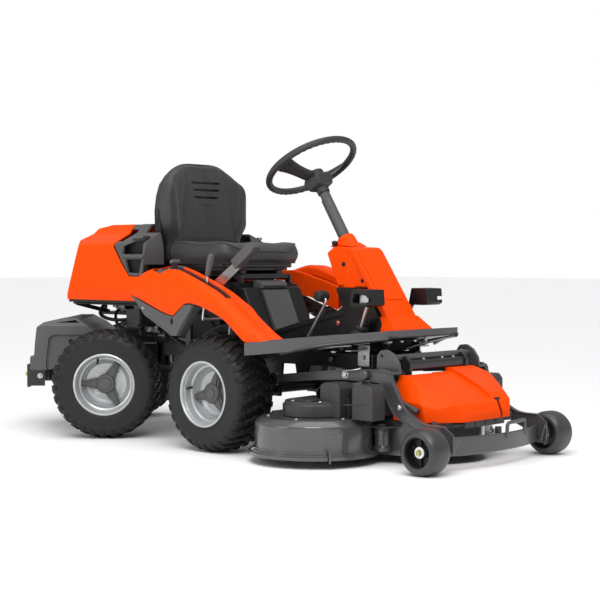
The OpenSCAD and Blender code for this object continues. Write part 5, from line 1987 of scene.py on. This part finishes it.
def make_engine():
    """Two-cylinder engine with fins, fan shroud, air filter and starter."""
    case = bevel(prism(rounded([(-118, 606), (118, 606), (124, 640), (124, 850), (104, 862), (-104, 862),
                                (-124, 850), (-124, 640)], 12), 453, 540, "z"), 5, 3)
    parts = [case]
    for s in (-1, 1):
        fins = []
        for k in range(7):
            x = s * (130 + 9 * k)
            grow = 6 * math.sin(math.pi * k / 6)
            fins.append(bevel(prism(rounded([(640 - grow, 458), (760 + grow, 458), (766 + grow, 520),
                                             (744, 562 + grow), (660, 562 + grow), (634 - grow, 520)], 10),
                                    x - 2, x + 2), 0.8, 1))
        parts += fins
        parts.append(rod((s * 112, 700, 508), (s * 196, 700, 508), 36, 40))
        head = bevel(prism_on(s, rounded([(648, 466), (752, 466), (756, 540), (736, 556), (664, 556),
                                          (644, 540)], 9), 190, 214), 4, 3)
        parts.append(head)
        for y, z in ((660, 478), (740, 478), (660, 540), (740, 540)):
            parts += bolt((s * 213, y, z), (s, 0, 0), 6, 5)
        plug = rod((s * 212, 700, 510), (s * 236, 690, 505), 8)
        parts.append((plug, RUBBER))
    shroud = lathe([(0, 538), (122, 538), (124, 544), (124, 592), (112, 612), (96, 618), (94, 640), (88, 650),
                    (0, 650)], 96, closed=False)
    move(shroud, shifted(0, 740, 0))
    screen = []
    for k in range(24):
        a = 2 * math.pi * k / 24
        screen.append(bevel(move(block((22, -1.6, 649), (84, 1.6, 655)), shifted(0, 740, 0)
                                 @ Matrix.Rotation(a, 4, "Z")), 0.8, 1))
    filter_side = rounded([(796, 560), (874, 560), (874, 640), (850, 652), (800, 652)], 10)
    filter_box = bevel(prism(filter_side, -104, 104), 6, 3)
    starter = [rod((-150, 800, 470), (-150, 800, 560), 28, 32),
               rod((-150, 800, 556), (-150, 800, 572), 20, 32)]
    sump_plan = rounded([(-100, 640), (100, 640), (100, 850), (-100, 850)], 20)
    sump = bevel(prism(sump_plan, 452.5, 470, "z"), 3, 2)
    cable_path = [(-230, 690, 505), (-250, 660, 530), (-220, 620, 560), (-150, 610, 560), (-110, 630, 540)]
    cable = tube(cable_path, 4, 10)
    piece("engine_block_look", parts + [(shroud, BLACK), (filter_box, BLACK), sump, (cable, RUBBER)]
          + in_material(screen, DARK_GREY) + in_material(starter, SILVER), "chassis", CAST,
          ["engine_block"])


def make_muffler():
    """Muffler can with its seams and pipes."""
    can = bevel(prism(rounded([(560, 402), (640, 402), (640, 478), (560, 478)], 20, 6), -255, -165), 6, 4)
    seam = rounded([(557, 399), (643, 399), (643, 481), (557, 481)], 21, 6)
    seams = [bevel(prism(seam, x - 2, x + 2), 1, 2) for x in (-246, -174)]
    pipe = tube([(-180, 620, 476), (-180, 620, 496), (-186, 630, 508), (-198, 646, 510)], 13, 20)
    outlet = tube([(-210, 602, 404), (-210, 600, 390), (-212, 590, 380), (-220, 572, 376)], 13, 20)
    bracket = bevel(block((-170, 574, 440), (-146, 600, 448)), 2)
    piece("muffler_look", [can, pipe, outlet, bracket] + seams, "chassis", BLACK_STEEL,
          ["muffler"])


def make_hoses():
    """Hoses, cables and small fittings that the chassis holds at both ends."""
    hoses = [
        tube([(-140, 860, 500), (-190, 850, 478), (-232, 820, 448), (-240, 770, 430), (-222, 716, 424),
              (-190, 676, 430), (-160, 652, 446)], 7, 14),
        tube([(-120, 806, 470), (-176, 790, 452), (-214, 740, 410), (-206, 690, 384), (-150, 640, 372),
              (-100, 590, 350)], 6, 14),
        tube([(110, 830, 480), (160, 800, 456), (196, 730, 430), (176, 660, 410), (120, 590, 360)], 6, 14),
        tube([(-60, 520, 350), (-130, 470, 362), (-190, 400, 372), (-228, 320, 366),
              (-236, 240, 348)], 4, 12),
        tube([(240, 120, 372), (230, 20, 356), (204, -90, 350), (170, -200, 352)], 4, 12),
        tube([(-130, 60, 352), (-190, -20, 350), (-226, -90, 360), (-262, -150, 372),
              (-296, -210, 372)], 4, 12),
    ]
    fittings = []
    for x, y, z in ((-140, 862, 500), (-160, 652, 446), (-120, 806, 470), (110, 830, 480)):
        fittings.append(rod((x - 9, y, z), (x + 9, y, z), 9.5, 20))
    tray = bevel(prism(rounded([(-310, 470), (-332, 500), (-332, 860), (-290, 912), (290, 912), (332, 860),
                                (332, 500), (310, 470), (296, 476), (296, 840), (-296, 840), (-296, 476)], 6),
                       486, 492, "z"), 1.5, 2)
    stays = []
    for s in (-1, 1):
        stays.append(tube([(s * 120, 560, 452), (s * 190, 560, 470), (s * 300, 540, 488)], 8, 14))
        stays.append(tube([(s * 140, 880, 452), (s * 220, 884, 470), (s * 300, 880, 488)], 8, 14))
        stays.append(bevel(block_on(s, (300, 470, 470), (332, 500, 492)), 2))
        # Hangers of the trims and mudguards
        stays.append(tube([(s * 130, 330, 330), (s * 250, 330, 352),
                           (s * 360, 330, 430), (s * 424, 330, 478)],
                          8, 14))
        stays.append(tube([(s * 130, 96, 320), (s * 220, 110, 338), (s * 250, 130, 400), (s * 330, 140, 470),
                           (s * 424, 150, 430)], 7, 14))
    under = []
    for s in (-1, 1):
        # Brackets and links under the footplate
        under.append(bevel(block_on(s, (132, -470, 300), (138, -420, 372)), 1.5))
        under.append(bevel(block_on(s, (138, -452, 352), (210, -428, 358)), 1.5))
        under += bolt((s * 138, -446, 330), (s, 0, 0), 7, 5)
        under += bolt((s * 138, -300, 318), (s, 0, 0), 6, 5)
        under.append(rod((s * 150, -480, 380), (s * 150, -250, 350), 4))
        under.append(rod((s * 196, -440, 372), (s * 230, -210, 352), 4))
        under += bolt((s * 214, -380, 352), (0, 0, -1), 8, 5)
    for x in (-90, -30, 40, 100):
        under += bolt((x, -520, 384), (0, 0, -1), 6, 5)
    for s in (-1, 1):
        under.append(tube([(s * 60, -470, 352), (s * 100, -520, 372), (s * 160, -556, 388)], 5, 12))
    piece("hoses_and_brackets", in_material(hoses, RUBBER) + in_material(under, SILVER)
          + in_material(fittings, SILVER) + [(tray, BLACK)] + stays, "chassis", BLACK_STEEL)


def make_battery_and_tank():
    """Battery, and the fuel tank within its CAD box."""
    tub = bevel(prism(rounded([(-95, 200), (95, 200), (95, 330), (-95, 330)], 8), 346, 482, "z"), 3)
    lid = bevel(prism(rounded([(-97, 198), (97, 198), (97, 332), (-97, 332)], 8), 480, 500, "z"), 3)
    ribs = [bevel(block((x - 2, 197.5, 356), (x + 2, 332.5, 474)), 1) for x in range(-72, 73, 24)]
    posts = [move(lathe([(0, 0), (11, 0), (11, 4), (8, 5), (8, 12), (0, 12)], 32, closed=False),
                  shifted(x, 225, 500)) for x in (-65, 65)]
    piece("battery_look", [tub, lid] + ribs + in_material(posts, SILVER), "chassis", BLACK,
          ["battery"])
    lo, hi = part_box("fuel_tank")
    to_mm = MACHINE.inverted()
    a, b = to_mm @ lo, to_mm @ hi
    mid = ((a.x + b.x) / 2, b.y - 70)
    top = b.z - 32
    tank = bevel(prism(rounded([(a.y + 1, a.z), (b.y - 1, a.z), (b.y - 1, top),
                                (a.y + 30, top), (a.y + 1, top - 40)],
                               14), a.x + 1, b.x - 1), 9, 4)
    band = bevel(prism(rounded([(a.y, a.z + 62), (b.y, a.z + 62), (b.y, a.z + 68), (a.y, a.z + 68)], 2),
                       a.x, b.x), 1.5)
    cap = lathe([(0, -2), (26, -2), (26, 14), (33, 15), (34, 20), (33, 30), (29, 32),
                 (0, 32)], 48, closed=False)
    grips = [move(block((32, -2.5, 16), (35, 2.5, 30)), turned(20 * k, "Z"))
             for k in range(18)]
    for p in [cap] + grips:
        move(p, shifted(mid[0], mid[1], top))
    piece("fuel_tank_look", [tank, band, (cap, BLACK)] + in_material(grips, BLACK), "chassis", TANK,
          ["fuel_tank"])


# ---------- Rear bogie ----------


def make_rear_cover():
    """Cover of the rear axle."""
    outline = [(223, 350), (223, 372), (262, 404), (312, 434), (352, 430), (392, 420), (432, 419), (458, 400),
               (466, 330), (470, 268), (474, 238), (404, 238), (372, 268), (300, 330)]
    body = prism(rounded(outline, [4, 8, 20, 14, 12, 16, 16, 14, 30, 20, 4, 10, 30, 20], 4), -240, 240)
    # Upper edges are cut back and the sides are stepped
    slice_off(body, (-240, 300, 404), (-0.60, 0, 0.80))
    slice_off(body, (240, 300, 404), (0.60, 0, 0.80))
    for s in (-1, 1):
        relief = prism_on(s, rounded([(250, 340), (286, 372), (392, 372), (412, 360), (424, 262), (414, 200),
                                (300, 200), (240, 280)], [8, 14, 14, 14, 10, 4, 4, 4], 4), 229, 260)
        combine(body, relief)
    bevel(dissolve(body, 0.4), 6, 4, 22)
    inner = prism([(231, 330), (231, 368), (314, 426), (429, 411), (450, 396),
                   (467, 226), (400, 226), (300, 318)],
                  -224, 224)
    combine(body, inner)
    parts = [body]
    for s in (-1, 1):
        # Foot of the cover, stepped out over the tow bracket, and arched ribs over the tyre
        parts.append(bevel(block_on(s, (236, 440, 236), (150, 486, 290)), 6, 3))
        parts.append(bevel(prism_on(s, [(238, 356), (290, 392), (398, 392), (404, 384), (294, 384),
                                        (244, 350)], 226, 238), 3, 2))
        parts += [(p, BLACK) for p in bolt((s * 229, 330, 346), (s, 0, 0), 6, 3)]
    for k in range(5):
        parts.append(bevel(block((-150 + 66 * k, 300, 428), (-140 + 66 * k, 352, 436)), 2, 2))
    piece("rear_cover_look", parts, "bogie", GREY, ["rear_cover"], BOGIE, sharp=30)


def make_tow_bracket():
    """Tow plate with its two holes, side plates and pin."""
    plate = prism(rounded([(-120, 160), (120, 160), (120, 250), (-120, 250)], 6), 513, 521, "y")
    holes = [move(lathe([(0, -20), (6.5, -20), (6.5, 20), (0, 20)], 32, closed=False),
                  shifted(x, 517, 204) @ Matrix.Rotation(math.pi / 2, 4, "X")) for x in (-60, 60)]
    combine(plate, holes)
    parts = [bevel(plate, 1.5, 2)]
    for s in (-1, 1):
        parts.append(bevel(block_on(s, (112, 452, 166), (120, 516, 244)), 1.5, 2))
        parts.append(bevel(block_on(s, (90, 474, 170), (113, 486, 240)), 2, 2))
        parts += [(p, SILVER) for p in bolt((s * 120, 470, 205), (s, 0, 0), 7, 5)]
    pin = move(lathe([(0, 0), (8, 0), (8, 27), (6, 30), (0, 30)], 40, closed=False),
               shifted(0, 521, 204) @ Matrix.Rotation(-math.pi / 2, 4, "X"))
    piece("tow_bracket_look", parts + [(pin, NUT_YELLOW)], "bogie", BLACK_STEEL,
          ["tow_bracket"], BOGIE)


def make_transaxle():
    """Ribbed transaxle case with its axle tubes, tank and lines."""
    case = bevel(prism(rounded([(106, 150), (128, 141), (214, 141), (234, 154), (234, 236), (220, 254),
                                (120, 254), (106, 240)], 10), -95, 95), 5, 3)
    parts = [case]
    for k in range(9):
        x = -80 + 20 * k
        parts.append(bevel(prism(rounded([(101, 160), (240, 160), (240, 240), (228, 258), (112, 258),
                                          (101, 240)], 8), x - 1.8, x + 1.8), 0.8, 1))
    top = move(lathe([(0, 250), (40, 250), (42, 254), (42, 260), (36, 263), (0, 263)], 64, closed=False),
               shifted(0, 170, 0))
    parts.append(top)
    for s in (-1, 1):
        tube_part = lathe([(10.4, 94), (34, 94), (34, 104), (26, 112), (24, 118),
                           (24, 262), (30, 266), (30, 284), (10.4, 284)], 56)
        move(tube_part, shifted(0, 170, 200) @ Matrix.Rotation(s * math.pi / 2, 4, "Y"))
        parts.append(tube_part)
        for k in range(5):
            a = 2 * math.pi * k / 5
            parts += bolt((s * 104, 170 + 29 * math.cos(a), 200 + 29 * math.sin(a)), (s, 0, 0), 4.5, 4)
    tank = lathe([(0, 0), (26, 0), (28, 3), (28, 34), (24, 38), (14, 40), (14, 46),
                  (18, 47), (18, 56), (0, 58)],
                 40, closed=False)
    move(tank, shifted(62, 206, 240))
    lines = [tube([(-60, 120, 250), (-70, 90, 268), (-60, 60, 258), (-40, 30, 256)], 5, 12),
             tube([(60, 120, 250), (74, 90, 266), (64, 60, 258), (42, 30, 256)], 5, 12)]
    piece("transaxle_look", parts + [(tank, BLACK)] + in_material(lines, RUBBER), "bogie", CAST,
          ["transaxle"], BOGIE)


# ---------- CAD nodes that stay ----------

KEPT = {
    "main_frame": BLACK_STEEL, "front_axle": BLACK_STEEL, "bogie_frame": BLACK_STEEL, "control_rods": SILVER,
    "engine_pulley": SILVER, "deck_belt": RUBBER,
}


def finish_kept_nodes():
    """Gives the CAD nodes that stay their materials."""
    for name, material in KEPT.items():
        data = frame["nodes"][name].data
        data.materials.clear()
        data.materials.append(material)


# ---------- Floor, light and camera ----------


def make_floor():
    """Plain pale floor."""
    mesh = bpy.data.meshes.new("floor")
    size = 40.0  # metres each way, so that its edge is far behind the machine
    mesh.from_pydata([(-size, -size, 0), (size, -size, 0), (size, size, 0),
                      (-size, size, 0)], [], [(0, 1, 2, 3)])
    floor = bpy.data.objects.new("floor", mesh)
    bpy.context.scene.collection.objects.link(floor)
    mesh.materials.append(finish_material("pale_floor", (0.96, 0.96, 0.96), 0.55, mottle=0.004, specular=0.2,
                                          mottle_scale=0.6))


def area_light(name, at, look, size, power):
    """A soft rectangular lamp aimed at a point."""
    light = bpy.data.lights.new(name, "AREA")
    light.shape = "RECTANGLE"
    light.size, light.size_y = size
    light.energy = power
    obj = bpy.data.objects.new(name, light)
    bpy.context.scene.collection.objects.link(obj)
    obj.location = at
    direction = Vector(look) - Vector(at)
    obj.rotation_mode = "QUATERNION"
    obj.rotation_quaternion = direction.to_track_quat("-Z", "Y")


SKY_LIGHT, BACKDROP_WHITE = 0.42, 1.0
SUN_STRENGTH, SUN_SPREAD = 1.95, 70
KEY_POWER, SIDE_POWER = 80, 35


def make_light():
    """A white backdrop, a soft overhead sun, and two large soft lamps on the pictured side."""
    world = bpy.data.worlds.new("studio")
    bpy.context.scene.world = world
    world.use_nodes = True
    nodes, links = world.node_tree.nodes, world.node_tree.links
    sky = nodes["Background"]
    sky.inputs["Color"].default_value = (1, 1, 1, 1)
    sky.inputs["Strength"].default_value = SKY_LIGHT
    # The backdrop itself looks white, while the light it gives is softer
    backdrop = nodes.new("ShaderNodeBackground")
    backdrop.inputs["Color"].default_value = (1, 1, 1, 1)
    backdrop.inputs["Strength"].default_value = BACKDROP_WHITE
    path = nodes.new("ShaderNodeLightPath")
    blend = nodes.new("ShaderNodeMixShader")
    links.new(path.outputs["Is Camera Ray"], blend.inputs[0])
    links.new(sky.outputs["Background"], blend.inputs[1])
    links.new(backdrop.outputs["Background"], blend.inputs[2])
    links.new(blend.outputs["Shader"], nodes["World Output"].inputs["Surface"])
    centre = (AXLE.x, AXLE.y, 0.5)
    area_light("key", (-2.8, -2.6, 3.2), centre, (2.0, 2.0), KEY_POWER)
    sun = bpy.data.lights.new("overhead", "SUN")
    sun.energy = SUN_STRENGTH
    sun.angle = math.radians(SUN_SPREAD)
    overhead = bpy.data.objects.new("overhead", sun)
    overhead.rotation_euler = (math.radians(12), math.radians(-10), 0)
    bpy.context.scene.collection.objects.link(overhead)
    area_light("side", (-4.2, 1.2, 1.8), centre, (1.8, 2.6), SIDE_POWER)
    bpy.context.scene.view_settings.view_transform = "Standard"


CAMERA_AZIMUTH, CAMERA_ELEVATION, CAMERA_DISTANCE = -46.67, 2.85, 5.10
CAMERA_LENS, CAMERA_SHIFT, LOOK_HEIGHT = 84.67, (0.009, 0.0508), 0.4


def make_camera():
    """Camera at the front right of the machine."""
    data = bpy.data.cameras.new("camera")
    data.sensor_width = 36
    data.lens = CAMERA_LENS
    data.shift_x, data.shift_y = CAMERA_SHIFT
    camera = bpy.data.objects.new("camera", data)
    bpy.context.scene.collection.objects.link(camera)
    a, e = math.radians(CAMERA_AZIMUTH), math.radians(CAMERA_ELEVATION)
    back = Vector((math.sin(a) * math.cos(e), -math.cos(a) * math.cos(e), math.sin(e)))
    target = Vector((AXLE.x, AXLE.y, LOOK_HEIGHT))
    camera.location = target + back * CAMERA_DISTANCE
    camera.rotation_mode = "QUATERNION"
    camera.rotation_quaternion = (-back).to_track_quat("-Z", "Y")
    bpy.context.scene.camera = camera


# ---------- The machine ----------

make_camera()
make_light()
make_floor()
make_wheels()
make_support_wheels()
make_cushion()
make_backrest()
make_seat_base()
make_steering()
make_console()
make_tunnel()
make_footplate()
make_foot_pedal("drive_pedal_look", "drive_pedal", "drive_foot", -1)
make_foot_pedal("brake_pedal_look", "brake_pedal", "brake_foot", 1)
make_reverse_pedal()
make_pedestal()
make_front_cover()
make_mudguards()
make_trims()
make_throttle()
make_levers()
make_lock_button()
make_hood()
make_intake()
make_deck()
make_belt_cover()
make_belt_guard()
make_carrier()
make_blades()
make_engine()
make_muffler()
make_hoses()
make_battery_and_tank()
make_rear_cover()
make_tow_bracket()
make_transaxle()
finish_kept_nodes()
